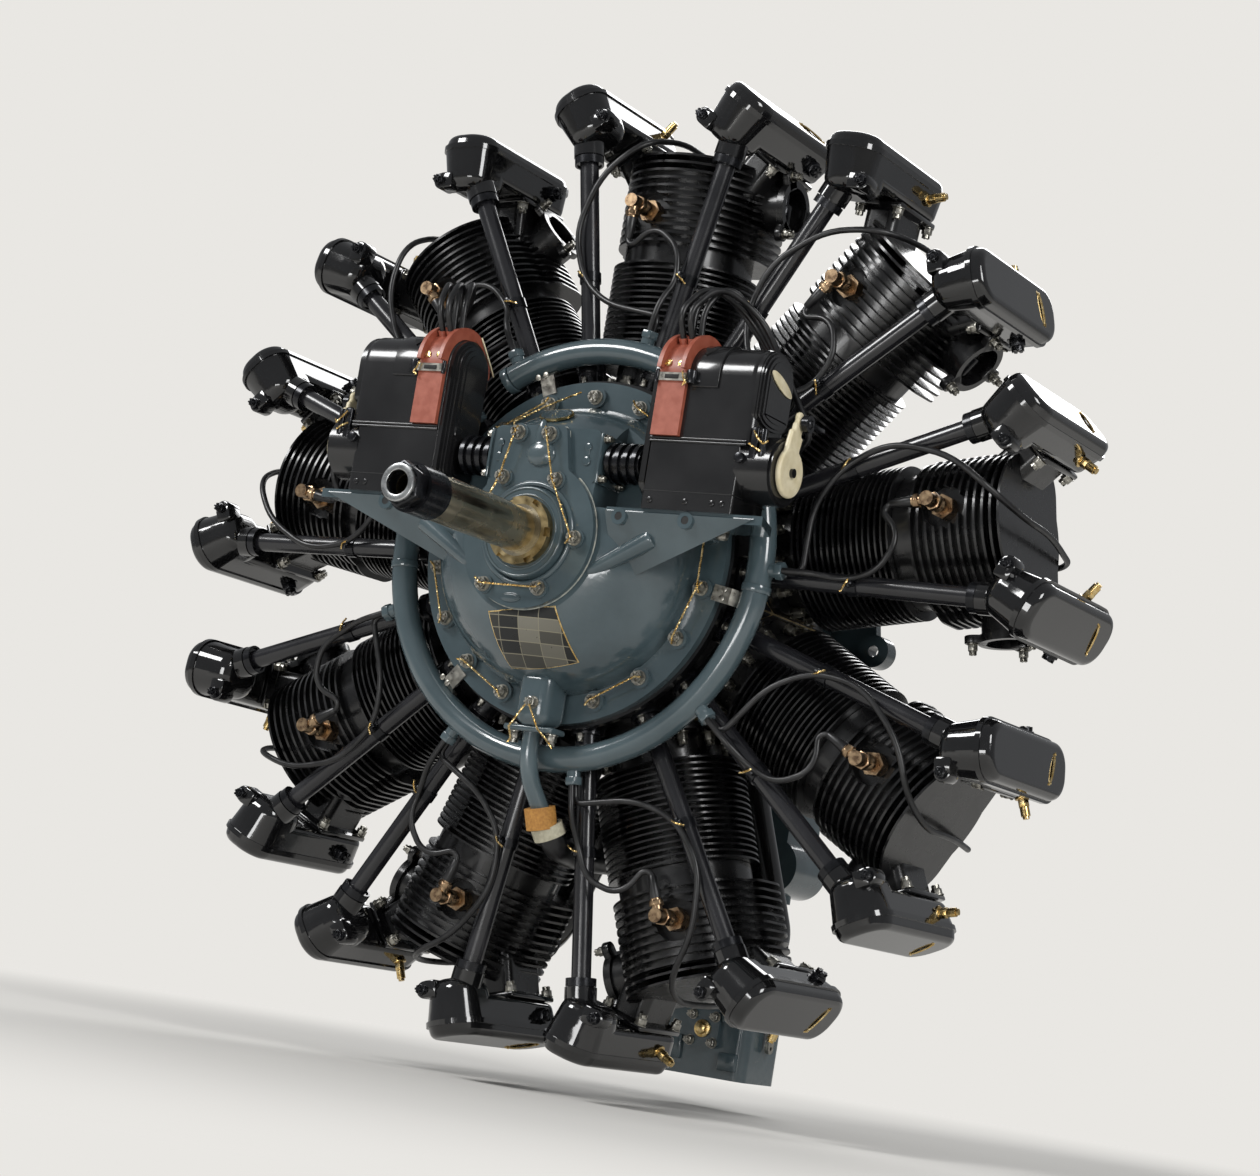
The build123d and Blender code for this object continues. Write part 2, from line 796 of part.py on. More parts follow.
# Bell-shaped nose case with the magneto drive tower and the two magneto shelves
with BuildPart() as nose_case:
    with BuildSketch(Plane.XY) as section:
        with BuildLine():
            Line((0, cam_front), (nose_flange_radius, cam_front))
            Line((nose_flange_radius, cam_front), (nose_flange_radius, nose_flange_front))
            Line((nose_flange_radius, nose_flange_front), (nose_root_radius, nose_flange_front))
            ThreePointArc(
                (nose_root_radius, nose_flange_front), bulge_middle, (nose_tip_radius, nose_front)
            )
            Line((nose_tip_radius, nose_front), (0, nose_front))
            Line((0, nose_front), (0, cam_front))
        make_face()
    revolve(axis=Axis.Y)
    with BuildSketch(Plane.XZ.offset(-tower_rear)) as drive_tower:
        with Locations((0, (tower_bottom + tower_top) / 2)):
            RectangleRounded(2 * tower_half_width, tower_top - tower_bottom, tower_corner)
    extrude(amount=tower_rear - nose_front)
    with BuildSketch(Plane.XY.offset(magneto_foot)) as shelf:
        for side in (-1, 1):
            with BuildLine():
                Polyline(
                    (side * shelf_inner, shelf_front),
                    (side * shelf_outer, shelf_front),
                    (side * shelf_outer_rear, shelf_rear),
                    (side * shelf_inner, shelf_rear),
                    close=True,
                )
            make_face()
    extrude(amount=-shelf_thickness)
    for side in (-1, 1):
        with BuildSketch(shelf_web_plane) as web:
            with BuildLine():
                Polyline(
                    (side * shelf_inner, web_top),
                    (side * (shelf_outer - shelf_thickness), web_top),
                    (side * web_foot_x, -web_foot_drop),
                    (side * web_foot_inner_x, -web_foot_drop),
                    close=True,
                )
            make_face()
        extrude(amount=-web_plate_thickness)
    with Locations(
        *[
            Location((x, shelf_front - shelf_boss_proud, magneto_foot - shelf_thickness), (-90, 0, 0))
            for x in (-shelf_boss_far, -shelf_boss_near, shelf_boss_near, shelf_boss_far)
        ]
    ):
        Cylinder(
            shelf_boss_radius,
            shelf_rear - shelf_front,
            align=(Align.CENTER, Align.CENTER, Align.MIN),
        )
    with Locations(
        *[
            Location(ring_point(angle, flange_bolt_circle, nose_flange_front), (90, 0, 0))
            for angle in flange_bolt_angles
        ]
    ):
        Cylinder(flange_boss_radius, flange_boss_height, align=(Align.CENTER, Align.CENTER, Align.MIN))
    with Locations((0, oil_boss_plane, -oil_boss_foot)):
        Cylinder(oil_boss_radius, oil_boss_foot / 2, align=(Align.CENTER, Align.CENTER, Align.MIN))
    with BuildSketch(Plane.XY) as inside:
        with BuildLine():
            Polyline(
                (0, cam_front),
                (nose_inner_root_radius, cam_front),
                (nose_inner_root_radius, nose_flange_front),
                (nose_inner_tip_radius, nose_seat_plane),
                (thrust_seat_radius, nose_seat_plane),
                (thrust_seat_radius, nose_front),
                (0, nose_front),
                close=True,
            )
        make_face()
    revolve(axis=Axis.Y, mode=Mode.SUBTRACT)
    for side in (-1, 1):
        with BuildSketch(Plane.XY.offset(magneto_foot)) as pocket:
            with Locations((side * (magneto_inner + nose_root_radius) / 2, magneto_middle)):
                Rectangle(
                    nose_root_radius - magneto_inner + 2 * magneto_rim,
                    magneto_rear - magneto_front + 2 * sweep_gap,
                )
            with Locations((side * (tower_half_width + magneto_inner) / 2, pocket_middle)):
                Rectangle(magneto_inner - tower_half_width, pocket_rear - shelf_front + 2 * sweep_gap)
        extrude(amount=nose_root_radius, mode=Mode.SUBTRACT)
        with Locations(Location((side * tower_half_width, drive_plane, drive_height), (0, side * 90, 0))):
            Cylinder(
                drive_shaft_radius + running_clearance,
                drive_bearing_length,
                align=(Align.CENTER, Align.CENTER, Align.MAX),
                mode=Mode.SUBTRACT,
            )
save(nose_case.part, "nose_case")

# Front cover plate: a disc round the shaft with an upward tab over the drive tower
with BuildPart() as nose_plate:
    with BuildSketch(Plane.XZ.offset(-nose_front)) as outline:
        Circle(nose_plate_radius)
        with BuildLine():
            Polyline(
                (plate_middle - plate_tab_half, tower_top),
                (plate_middle + plate_tab_half, tower_top),
                (plate_middle + plate_tab_foot, tower_bottom - 10),
                (plate_middle - plate_tab_foot, tower_bottom - 10),
                close=True,
            )
        make_face()
        fillet(outline.vertices(), plate_corner)
    extrude(amount=nose_plate_thickness)
    with BuildSketch(Plane.XZ.offset(-plate_front)) as hub:
        Circle(plate_hub_radius)
    extrude(amount=plate_hub_height, taper=12)
    with Locations(*[Location((x, plate_front, z), (90, 0, 0)) for x, z in plate_bolts]):
        Cylinder(plate_boss_radius, plate_boss_height, align=(Align.CENTER, Align.CENTER, Align.MIN))
    with BuildSketch(Plane.XZ.offset(-nose_front)) as shaft_hole:
        Circle(nose_shaft_radius + 3 * seat_gap)
    extrude(amount=nose_plate_thickness + plate_hub_height, mode=Mode.SUBTRACT)
save(nose_plate.part, "nose_plate")

# Castle nuts on the studs of the nose flange and the front cover plate
with BuildPart() as castle_nut:
    with BuildSketch(Plane.XY) as washer:
        Circle(nut_washer_radius)
    extrude(amount=nut_washer)
    with BuildSketch(Plane.XY.offset(nut_washer)) as body:
        RegularPolygon(nut_flats / 2, 6, major_radius=False)
    extrude(amount=nut_height)
    with BuildSketch(Plane.XY.offset(nut_washer + nut_height)) as crown:
        Circle(nut_crown_radius)
    extrude(amount=nut_crown_height)
    with BuildSketch(Plane.XY.offset(nut_washer + nut_height)) as slots:
        for turn in (0, 60, 120):
            Rectangle(nut_flats, nut_slot_width, rotation=turn)
    extrude(amount=nut_crown_height, mode=Mode.SUBTRACT)

flange_nut_places = [
    Location(ring_point(angle, flange_bolt_circle, nose_flange_front - flange_boss_height), (90, 0, 0))
    for angle in flange_bolt_angles
]
plate_nut_places = [
    Location((x, plate_front - plate_boss_height, z), (90, 0, 0)) for x, z in plate_bolts
]
with BuildPart() as nose_nuts:
    with Locations(*flange_nut_places, *plate_nut_places):
        add(castle_nut.part)
save(nose_nuts.part, "nose_nuts")

# ------------------------------------------------------------------ crankshaft group
# Single-throw crankshaft with the hollow propeller shaft in one piece with it
with BuildPart() as crankshaft:
    with BuildSketch(Plane.XY) as front_section:
        with BuildLine():
            Polyline(
                (0, -web_inner - web_thickness + 1),
                (journal_radius, -web_inner - web_thickness + 1),
                (journal_radius, cam_rear),
                (nose_shaft_radius, cam_rear),
                (nose_shaft_radius, hub_front),
                (thrust_thread_radius, hub_front),
                (thrust_thread_radius, hub_front - thrust_nut_length),
                (prop_shaft_radius, hub_front - thrust_nut_length),
                (prop_shaft_radius, prop_shaft_front),
                (end_thread_radius, prop_shaft_front),
                (end_thread_radius, end_nut_neck),
                (0, end_nut_neck),
                close=True,
            )
        make_face()
        with BuildLine():
            Polyline(
                (0, web_inner + web_thickness - 1),
                (journal_radius, web_inner + web_thickness - 1),
                (journal_radius, rear_face - sweep_gap),
                (0, rear_face - sweep_gap),
                close=True,
            )
        make_face()
    revolve(axis=Axis.Y)
    for side in (-1, 1):
        with BuildSketch(Plane.XZ.offset(-side * web_inner)) as web:
            with Locations((0, throw)):
                Circle(throw_pin_radius + web_rim)
            Circle(counterweight_radius)
            with Locations((0, counterweight_radius + throw_pin_radius / 2)):
                Rectangle(3 * counterweight_radius, 2 * counterweight_radius, mode=Mode.SUBTRACT)
            with BuildLine():
                Polyline(
                    (-throw_pin_radius - web_rim, throw),
                    (throw_pin_radius + web_rim, throw),
                    (journal_radius + web_waist, 0),
                    (-journal_radius - web_waist, 0),
                    close=True,
                )
            make_face()
            with Locations((0, throw)):
                Circle(throw_pin_radius + web_rim)
        extrude(amount=-side * web_thickness)
    with BuildSketch(Plane.XZ.offset(-web_inner)) as pin:
        with Locations((0, throw)):
            Circle(throw_pin_radius)
    extrude(amount=2 * web_inner)
    with BuildSketch(Plane.XZ.offset(-end_nut_neck)) as shaft_hollow:
        Circle(shaft_bore_radius)
    extrude(amount=-(hub_front - end_nut_neck), mode=Mode.SUBTRACT)
    with Locations((0, prop_shaft_front + key_length / 2 + key_start, prop_shaft_radius)):
        Box(key_width, key_length, 2 * key_height, mode=Mode.SUBTRACT)
save(crankshaft.part, "crankshaft")

with BuildPart() as thrust_nut:
    with BuildSketch(Plane.XZ.offset(-hub_front)) as ring:
        Circle(thrust_nut_radius)
        Circle(thrust_thread_radius, mode=Mode.SUBTRACT)
    extrude(amount=thrust_nut_length)
    with BuildSketch(Plane.XZ.offset(-hub_front + thrust_nut_length / 2)) as slots:
        with PolarLocations(thrust_nut_radius, thrust_nut_slots):
            Rectangle(thrust_nut_length, thrust_nut_length)
    extrude(amount=thrust_nut_length, mode=Mode.SUBTRACT)
save(thrust_nut.part, "thrust_nut")

with BuildPart() as shaft_end_nut:
    with BuildSketch(Plane.XY) as section:
        with BuildLine():
            Polyline(
                (end_thread_radius, prop_shaft_front),
                (end_nut_radius, prop_shaft_front),
                (end_nut_radius, end_nut_neck),
                (end_neck_radius, end_nut_neck),
                (end_neck_radius, end_lip_start),
                (end_lip_radius, end_lip_start),
                (end_lip_radius, shaft_end),
                (shaft_bore_radius, shaft_end),
                (shaft_bore_radius, end_nut_neck),
                (end_thread_radius, end_nut_neck),
                close=True,
            )
        make_face()
    revolve(axis=Axis.Y)
    with BuildSketch(Plane.XZ.offset(-prop_shaft_front)) as slots:
        with PolarLocations(end_nut_radius, end_nut_slots):
            Rectangle(end_slot_depth, end_slot_width)
    extrude(amount=(prop_shaft_front - end_nut_neck) / 2, mode=Mode.SUBTRACT)
save(shaft_end_nut.part, "shaft_end_nut")

# Main bearings: front, rear and the thrust bearing in the nose
with BuildPart() as main_bearings:
    for side in (-1, 1):
        with BuildSketch(Plane.XY) as section:
            with BuildLine():
                Polyline(
                    (journal_radius + running_clearance, side * case_half_width),
                    (bearing_outer_radius, side * case_half_width),
                    (bearing_outer_radius, side * (case_half_width - diaphragm_thickness)),
                    (bearing_lip_radius, side * (case_half_width - diaphragm_thickness)),
                    (bearing_lip_radius, side * bearing_lip_start),
                    (journal_radius + running_clearance, side * bearing_lip_start),
                    close=True,
                )
            make_face()
        revolve(axis=Axis.Y)
    with BuildSketch(Plane.XZ.offset(-nose_front)) as thrust_ring:
        Circle(thrust_seat_radius)
        Circle(nose_shaft_radius + running_clearance, mode=Mode.SUBTRACT)
    extrude(amount=-thrust_bearing_length)
save(main_bearings.part, "main_bearings")

# Cam ring: four lobes on a disc that turns on the crankshaft at an eighth of its speed
with BuildPart() as cam_ring:
    with BuildSketch(Plane.XZ.offset(-pushrod_plane - cam_length / 2)) as track:
        Circle(cam_radius)
        with PolarLocations(cam_radius - cam_lobe_radius + cam_lobe_lift, cam_lobe_count, start_angle=45):
            Circle(cam_lobe_radius)
        Circle(cam_bore_radius, mode=Mode.SUBTRACT)
    extrude(amount=cam_length)
    with BuildSketch(Plane.XZ.offset(-pushrod_plane)) as web:
        Circle((cam_bore_radius + cam_radius) / 2)
        Circle(nose_shaft_radius + running_clearance, mode=Mode.SUBTRACT)
    extrude(amount=cam_length / 4, both=True)
    with BuildSketch(Plane.XZ.offset(-pushrod_plane - cam_length / 2)) as hub:
        Circle(nose_shaft_radius + cam_hub_wall)
        Circle(nose_shaft_radius + running_clearance, mode=Mode.SUBTRACT)
    extrude(amount=cam_length)
save(cam_ring.part, "cam_ring")

# ------------------------------------------------------------------ magneto drive
for side, side_name in ((-1, "left"), (1, "right")):
    with BuildPart() as coupling:
        coupling_plane = Plane((0, drive_plane, drive_height), x_dir=(side, 0, 0), z_dir=(0, -1, 0))
        with BuildSketch(coupling_plane) as section:
            with BuildLine():
                Polyline(
                    (tower_half_width - drive_bearing_length + 1, 0),
                    (tower_half_width - drive_bearing_length + 1, drive_shaft_radius),
                    (coupling_start, drive_shaft_radius),
                    (coupling_start, coupling_radius),
                    (coupling_end, coupling_radius),
                    (coupling_end, drive_shaft_radius),
                    (magneto_inner + drive_bearing_length - 1, drive_shaft_radius),
                    (magneto_inner + drive_bearing_length - 1, 0),
                    close=True,
                )
            make_face()
            with Locations(
                *[
                    (coupling_start + (row + 0.5) * (coupling_end - coupling_start) / coupling_ribs, 0)
                    for row in range(coupling_ribs)
                ]
            ):
                Rectangle(
                    coupling_rib_width,
                    coupling_radius + coupling_rib_height,
                    align=(Align.CENTER, Align.MIN),
                )
        revolve(axis=Axis((0, drive_plane, drive_height), (1, 0, 0)))
    save(coupling.part, f"magneto_coupling_{side_name}")

# ------------------------------------------------------------------ magnetos
# Right-hand magneto; the left-hand one is its mirror image
with BuildPart() as magneto_base:
    with BuildSketch(Plane.XY.offset(magneto_foot)) as floor:
        with Locations(((magneto_inner + magneto_outer) / 2, magneto_middle)):
            RectangleRounded(magneto_outer - magneto_inner, magneto_rear - magneto_front, magneto_rim)
    extrude(amount=magneto_seam - magneto_foot)
    with BuildSketch(Plane.YZ.offset(magneto_outer - magneto_rim)) as drum:
        with Locations((drive_plane, drive_height)):
            Circle(end_drum_radius)
    extrude(amount=end_drum_reach - magneto_outer + magneto_rim - drum_step)
    with BuildSketch(Plane.YZ.offset(end_drum_reach - drum_step)) as drum_end:
        with Locations((drive_plane, drive_height)):
            Circle(end_drum_radius - drum_step)
    extrude(amount=drum_step)
    with Locations(Location((end_drum_reach, drive_plane, drive_height), (0, 90, 0))):
        Cylinder(
            spoon_pin_radius,
            spoon_thickness + drum_step,
            align=(Align.CENTER, Align.CENTER, Align.MIN),
        )
    with Locations(Location((magneto_inner - magneto_rim, drive_plane, drive_height), (0, 90, 0))):
        Cylinder(coupling_radius, magneto_rim, align=(Align.CENTER, Align.CENTER, Align.MIN))
        Cylinder(
            drive_shaft_radius + running_clearance,
            drive_bearing_length + magneto_rim,
            align=(Align.CENTER, Align.CENTER, Align.MIN),
            mode=Mode.SUBTRACT,
        )

with BuildPart() as magneto_hood:
    with BuildSketch(Plane.YZ.offset(magneto_inner)) as arch:
        with BuildLine():
            Polyline(
                (magneto_rear, hood_centre),
                (magneto_rear, magneto_seam),
                (magneto_front, magneto_seam),
                (magneto_front, hood_centre),
            )
            ThreePointArc(
                (magneto_front, hood_centre), (magneto_middle, magneto_top), (magneto_rear, hood_centre)
            )
        make_face()
    extrude(amount=magneto_outer + hood_overhang - magneto_inner)
    fillet(magneto_hood.faces().sort_by(Axis.X)[-1].edges().sort_by(Axis.Z)[1:], hood_overhang - 1)
    fillet(magneto_hood.faces().sort_by(Axis.X)[0].edges().sort_by(Axis.Z)[1:], magneto_rim)
    with BuildSketch(Plane.YZ.offset(magneto_inner + magneto_rim)) as cap:
        with BuildLine():
            Polyline(
                (magneto_rear - magneto_rim, hood_centre),
                (magneto_rear - magneto_rim, magneto_seam + magneto_rim),
                (magneto_front + magneto_rim, magneto_seam + magneto_rim),
                (magneto_front + magneto_rim, hood_centre),
            )
            ThreePointArc(
                (magneto_front + magneto_rim, hood_centre),
                (magneto_middle, magneto_top - magneto_rim),
                (magneto_rear - magneto_rim, hood_centre),
            )
        make_face()
    extrude(amount=-(magneto_rim + cap_dome), taper=cap_taper)
    fillet(magneto_hood.faces().sort_by(Axis.X)[0].edges(), cap_round)
    with BuildSketch(Plane.YZ.offset(magneto_outer - magneto_rim)) as drum_way:
        with Locations((drive_plane, drive_height)):
            Circle(end_drum_radius + seat_gap)
    extrude(amount=end_drum_reach, mode=Mode.SUBTRACT)

# Distributor block: a saddle over the hood with a raised rib along both edges
with BuildPart() as distributor_block:
    for start, length, inner, outer, foot in (
        (
            block_inner,
            block_outer - block_inner,
            hood_radius + seat_gap,
            hood_radius + block_thickness,
            block_foot,
        ),
        (
            block_inner,
            block_rib_width,
            hood_radius + block_thickness / 2,
            hood_radius + block_thickness + block_rib,
            strap_height + strap_width,
        ),
        (
            block_outer - block_rib_width,
            block_rib_width,
            hood_radius + block_thickness / 2,
            hood_radius + block_thickness + block_rib,
            strap_height + strap_width,
        ),
    ):
        shoulder = max(foot, hood_centre)
        inner_reach = sqrt(inner**2 - (shoulder - hood_centre) ** 2)
        outer_reach = sqrt(outer**2 - (shoulder - hood_centre) ** 2)
        with BuildSketch(Plane.YZ.offset(start)) as saddle:
            with BuildLine():
                Line((magneto_middle - inner_reach, foot), (magneto_middle - outer_reach, foot))
                Line((magneto_middle + inner_reach, foot), (magneto_middle + outer_reach, foot))
                if foot < shoulder:
                    for reach in (-outer_reach, -inner_reach, inner_reach, outer_reach):
                        Line((magneto_middle + reach, foot), (magneto_middle + reach, shoulder))
                for radius, reach in ((inner, inner_reach), (outer, outer_reach)):
                    ThreePointArc(
                        (magneto_middle - reach, shoulder),
                        (magneto_middle, hood_centre + radius),
                        (magneto_middle + reach, shoulder),
                    )
            make_face()
        extrude(amount=length)
    with Locations(
        *[
            Location((column, magneto_middle, hood_centre), (row_angle, 0, 0))
            * Location((0, 0, hood_radius + block_thickness / 2))
            for column, row_angle in block_socket_places
        ]
    ):
        Cylinder(
            block_socket_radius,
            block_socket_reach - hood_radius - block_thickness / 2,
            align=(Align.CENTER, Align.CENTER, Align.MIN),
        )

with BuildPart() as magneto_strap:
    with BuildSketch(Plane.YZ.offset(block_inner - strap_overhang)) as section:
        with Locations((magneto_middle, strap_height)):
            Rectangle(
                2 * (hood_radius + block_thickness + strap_thickness + seat_gap),
                strap_width,
            )
            Rectangle(
                2 * (hood_radius + block_thickness + seat_gap),
                strap_width,
                mode=Mode.SUBTRACT,
            )
    extrude(amount=block_outer - block_inner + 2 * strap_overhang)

# Advance lever on the end of the magneto: a round cap with a tapering handle
with BuildPart() as advance_lever:
    with BuildSketch(Plane.YZ.offset(end_drum_reach + seat_gap)) as spoon:
        with Locations((drive_plane, drive_height)):
            Circle(spoon_radius)
        with BuildLine():
            Polyline(
                (drive_plane - spoon_shoulder_half, drive_height + spoon_radius / 2),
                (drive_plane + spoon_tip_shift - spoon_tip_width / 2, drive_height + spoon_reach),
                (drive_plane + spoon_tip_shift + spoon_tip_width / 2, drive_height + spoon_reach),
                (drive_plane + spoon_shoulder_half, drive_height + spoon_radius / 2),
                close=True,
            )
        make_face()
        with Locations((drive_plane + spoon_tip_shift, drive_height + spoon_reach)):
            Circle(spoon_tip_width / 2)
        with Locations((drive_plane, drive_height)):
            Circle(spoon_pin_radius + running_clearance, mode=Mode.SUBTRACT)
    extrude(amount=spoon_thickness)

for piece, name in ((magneto_base, "magneto_base"), (advance_lever, "advance_lever")):
    save(piece.part, f"{name}_right")
    save(mirror(piece.part, about=Plane.YZ), f"{name}_left")

for piece, name in (
    (magneto_hood, "magneto_hoods"),
    (distributor_block, "distributor_blocks"),
    (magneto_strap, "magneto_straps"),
):
    with BuildPart() as pair:
        add(piece.part)
        mirror(about=Plane.YZ)
    save(pair.part, name)

# ------------------------------------------------------------------ ignition ring
outlet_places = [
    place * Location((0, ring_plane, 0), (0, outlet_angle, 0)) * Location((0, 0, outlet_reach))
    for place in cylinder_places
]

inlet_places = [
    Location((0, ring_plane, 0), (0, side * angle, 0)) * Location((0, 0, outlet_reach))
    for angle in lead_inlet_angles
    for side in (-1, 1)
]

# Conduit round the nose with a lead outlet beside every right-hand push rod tube
with BuildPart() as ignition_ring:
    with BuildSketch(Plane.XY) as section:
        with Locations((ring_radius, ring_plane)):
            Circle(ring_tube_radius)
            Circle(ring_tube_radius - ring_tube_wall, mode=Mode.SUBTRACT)
    revolve(axis=Axis.Y, revolution_arc=ring_sweep)
with BuildPart() as ring_with_outlets:
    add(ignition_ring.part.rotate(Axis.Y, ring_start - 90))
    with Locations(*outlet_places, *inlet_places):
        Cylinder(
            outlet_radius,
            outlet_reach - ring_radius - ring_tube_radius + ring_tube_wall,
            align=(Align.CENTER, Align.CENTER, Align.MAX),
        )
save(ring_with_outlets.part, "ignition_ring")

# Strap brackets that carry the ring from the nose flange
bracket_seat = ring_radius - ring_tube_radius - seat_gap
with BuildPart() as ring_bracket:
    with BuildSketch(Plane.YZ) as profile:
        with BuildLine():
            Polyline(
                (nose_flange_front - bracket_thickness, bracket_foot),
                (nose_flange_front - bracket_thickness, bracket_seat - bracket_joggle),
                (ring_plane - bracket_seat_half, bracket_seat),
                (ring_plane + bracket_seat_half, bracket_seat),
                (ring_plane + bracket_seat_half, bracket_seat - bracket_thickness),
                (ring_plane - bracket_seat_half + 1, bracket_seat - bracket_thickness),
                (nose_flange_front, bracket_seat - bracket_joggle - bracket_thickness),
                (nose_flange_front, bracket_foot),
                close=True,
            )
        make_face()
    extrude(amount=bracket_width / 2, both=True)

with BuildPart() as ring_brackets:
    with Locations(*[Location((0, 0, 0), (0, angle, 0)) for angle in bracket_angles]):
        add(ring_bracket.part)
save(ring_brackets.part, "ring_brackets")

# ------------------------------------------------------------------ induction section and mount
with BuildPart() as induction_case:
    with BuildSketch(Plane.XZ.offset(-case_half_width)) as ring:
        Circle(induction_radius)
    extrude(amount=-induction_length)
    with BuildSketch(Plane.XZ.offset(-mount_face)) as mount_flange:
        RegularPolygon(mount_circle, cylinder_count, rotation=90 - pitch_angle / 2)
        Circle(induction_radius - mount_flange_lap, mode=Mode.SUBTRACT)
    extrude(amount=mount_flange_thickness)
    with Locations(*[place * Location((0, mount_face, mount_circle), (90, 0, 0)) for place in gap_places]):
        Cylinder(mount_boss_radius, mount_boss_height, align=(Align.CENTER, Align.CENTER, Align.MIN))
        Cylinder(
            mount_hole_radius,
            mount_boss_height,
            align=(Align.CENTER, Align.CENTER, Align.MIN),
            mode=Mode.SUBTRACT,
        )
    with Locations(*[place * Location((-intake_offset, intake_plane, 0)) for place in cylinder_places]):
        Cylinder(
            intake_pipe_radius + intake_boss_wall,
            induction_radius + intake_boss_height,
            align=(Align.CENTER, Align.CENTER, Align.MIN),
        )
    with Locations(
        *[place * Location((-intake_offset, intake_plane, intake_foot)) for place in cylinder_places]
    ):
        Cylinder(
            intake_pipe_radius + seat_gap,
            induction_radius,
            align=(Align.CENTER, Align.CENTER, Align.MIN),
            mode=Mode.SUBTRACT,
        )
    with BuildSketch(Plane.XZ.offset(-case_half_width)) as shaft_way:
        Circle(shaft_way_radius)
    extrude(amount=-induction_length, mode=Mode.SUBTRACT)
save(induction_case.part, "induction_case")

# Intake pipe from the induction case up the back of a cylinder and into its head
with BuildPart() as intake_pipe:
    with BuildLine() as route:
        FilletPolyline(
            (-intake_offset, intake_plane, intake_foot),
            (-intake_offset, intake_plane, intake_height),
            (-intake_offset, intake_reach - port_depth, intake_height),
            radius=intake_bend,
        )
    with BuildSketch(Plane((-intake_offset, intake_plane, intake_foot))) as section:
        Circle(intake_pipe_radius)
        Circle(intake_pipe_radius - intake_pipe_wall, mode=Mode.SUBTRACT)
    sweep()

with BuildPart() as intake_pipes:
    with Locations(*cylinder_places):
        add(intake_pipe.part)
save(intake_pipes.part, "intake_pipes")

# ------------------------------------------------------------------ rear cover, sump and carburettor
with BuildPart() as rear_cover:
    with BuildSketch(Plane.XY) as section:
        with BuildLine():
            Polyline(
                (0, rear_face),
                (rear_cover_radius + cover_flange_width, rear_face),
                (rear_cover_radius + cover_flange_width, rear_face + case_flange_thickness),
                (rear_cover_radius, rear_face + case_flange_thickness),
                (rear_cover_radius - cover_shoulder, rear_face + rear_cover_length * cover_shoulder_share),
                (rear_cover_radius - cover_end_step + cover_shoulder, rear_end - cover_shoulder),
                (rear_cover_radius - cover_end_step, rear_end),
                (0, rear_end),
                close=True,
            )
        make_face()
    revolve(axis=Axis.Y)
    with BuildSketch(Plane.XY.offset(sump_top)) as neck:
        with Locations((0, (sump_front + sump_rear) / 2)):
            RectangleRounded(sump_neck_width, sump_rear - sump_front, sump_corner)
    extrude(amount=-sump_top - rear_cover_radius / 2)
save(rear_cover.part, "rear_cover")

# Intake duct from the pad on the rear cover down to the flange that the carburettor hangs from
with BuildPart() as intake_duct:
    with BuildSketch(Plane.XZ.offset(-rear_end)) as pad:
        Circle(rear_pad_radius)
    extrude(amount=-(duct_front - rear_end))
    with BuildSketch(Plane.XY.offset(carburettor_top)) as duct:
        with Locations((0, (duct_front + duct_rear) / 2)):
            RectangleRounded(duct_width, duct_rear - duct_front, duct_corner)
    extrude(amount=-carburettor_top + duct_root)
    with BuildSketch(Plane.XY.offset(carburettor_top)) as foot:
        with Locations((0, throttle_plane)):
            RectangleRounded(carburettor_width, carburettor_rear - carburettor_front, carburettor_corner)
    extrude(amount=duct_flange_thickness)
    with BuildSketch(Plane.XY.offset(carburettor_top)) as throats:
        with Locations((-throttle_spacing, throttle_plane), (throttle_spacing, throttle_plane)):
            Circle(throttle_bore_radius)
    extrude(amount=duct_flange_thickness, mode=Mode.SUBTRACT)
save(intake_duct.part, "intake_duct")

# Lobed oil sump hung under the rear cover
sump_middle = (sump_front + sump_rear) / 2
sump_lobes = [
    ((lobe - (sump_lobe_count - 1) / 2) * sump_lobe_pitch, sump_lobe_centre)
    for lobe in range(sump_lobe_count)
]
with BuildPart() as oil_sump:
    with BuildSketch(Plane.XZ.offset(-sump_front)) as outline:
        with Locations(*sump_lobes):
            Circle(sump_lobe_radius)
        with Locations((0, (sump_top + sump_lobe_centre) / 2)):
            Rectangle(sump_lobe_pitch * (sump_lobe_count - 1) + sump_lobe_radius, sump_top - sump_lobe_centre)
    extrude(amount=-(sump_rear - sump_front))
    fillet(oil_sump.edges().filter_by(Axis.X).group_by(Axis.Z)[-1], sump_round)
    with Locations(*[(x, sump_middle, z - sump_lobe_radius + sump_plug_lap) for x, z in sump_lobes]):
        Cylinder(sump_plug_radius, sump_plug_length, align=(Align.CENTER, Align.CENTER, Align.MAX))
    with Locations(Location((oil_inlet_x, sump_front, oil_inlet_z), (90, 0, 0))):
        Cylinder(
            oil_hose_radius + hose_stub_wall,
            hose_stub_length,
            align=(Align.CENTER, Align.CENTER, Align.MIN),
        )
save(oil_sump.part, "oil_sump")

# Carburettor with two throats side by side
with BuildPart() as carburettor_body:
    with BuildSketch(Plane.XY.offset(carburettor_bottom)) as body:
        with Locations((0, throttle_plane)):
            RectangleRounded(carburettor_width, carburettor_rear - carburettor_front, carburettor_corner)
    extrude(amount=carburettor_top - carburettor_bottom)
    with BuildSketch(Plane.XZ.offset(-carburettor_front)) as front_boss:
        with Locations((0, carburettor_boss_middle)):
            RectangleRounded(carburettor_boss_width, carburettor_boss_width, carburettor_boss_corner)
    extrude(amount=carburettor_boss_height)
    with BuildSketch(Plane.XY.offset(carburettor_bottom)) as throats:
        with Locations((-throttle_spacing, throttle_plane), (throttle_spacing, throttle_plane)):
            Circle(throttle_bore_radius)
    extrude(amount=carburettor_top - carburettor_bottom, mode=Mode.SUBTRACT)
    with Locations(Location((0, throttle_plane, throttle_height), (0, 90, 0))):
        Cylinder(throttle_shaft_radius + running_clearance, carburettor_width * 2, mode=Mode.SUBTRACT)
save(carburettor_body.part, "carburettor_body")

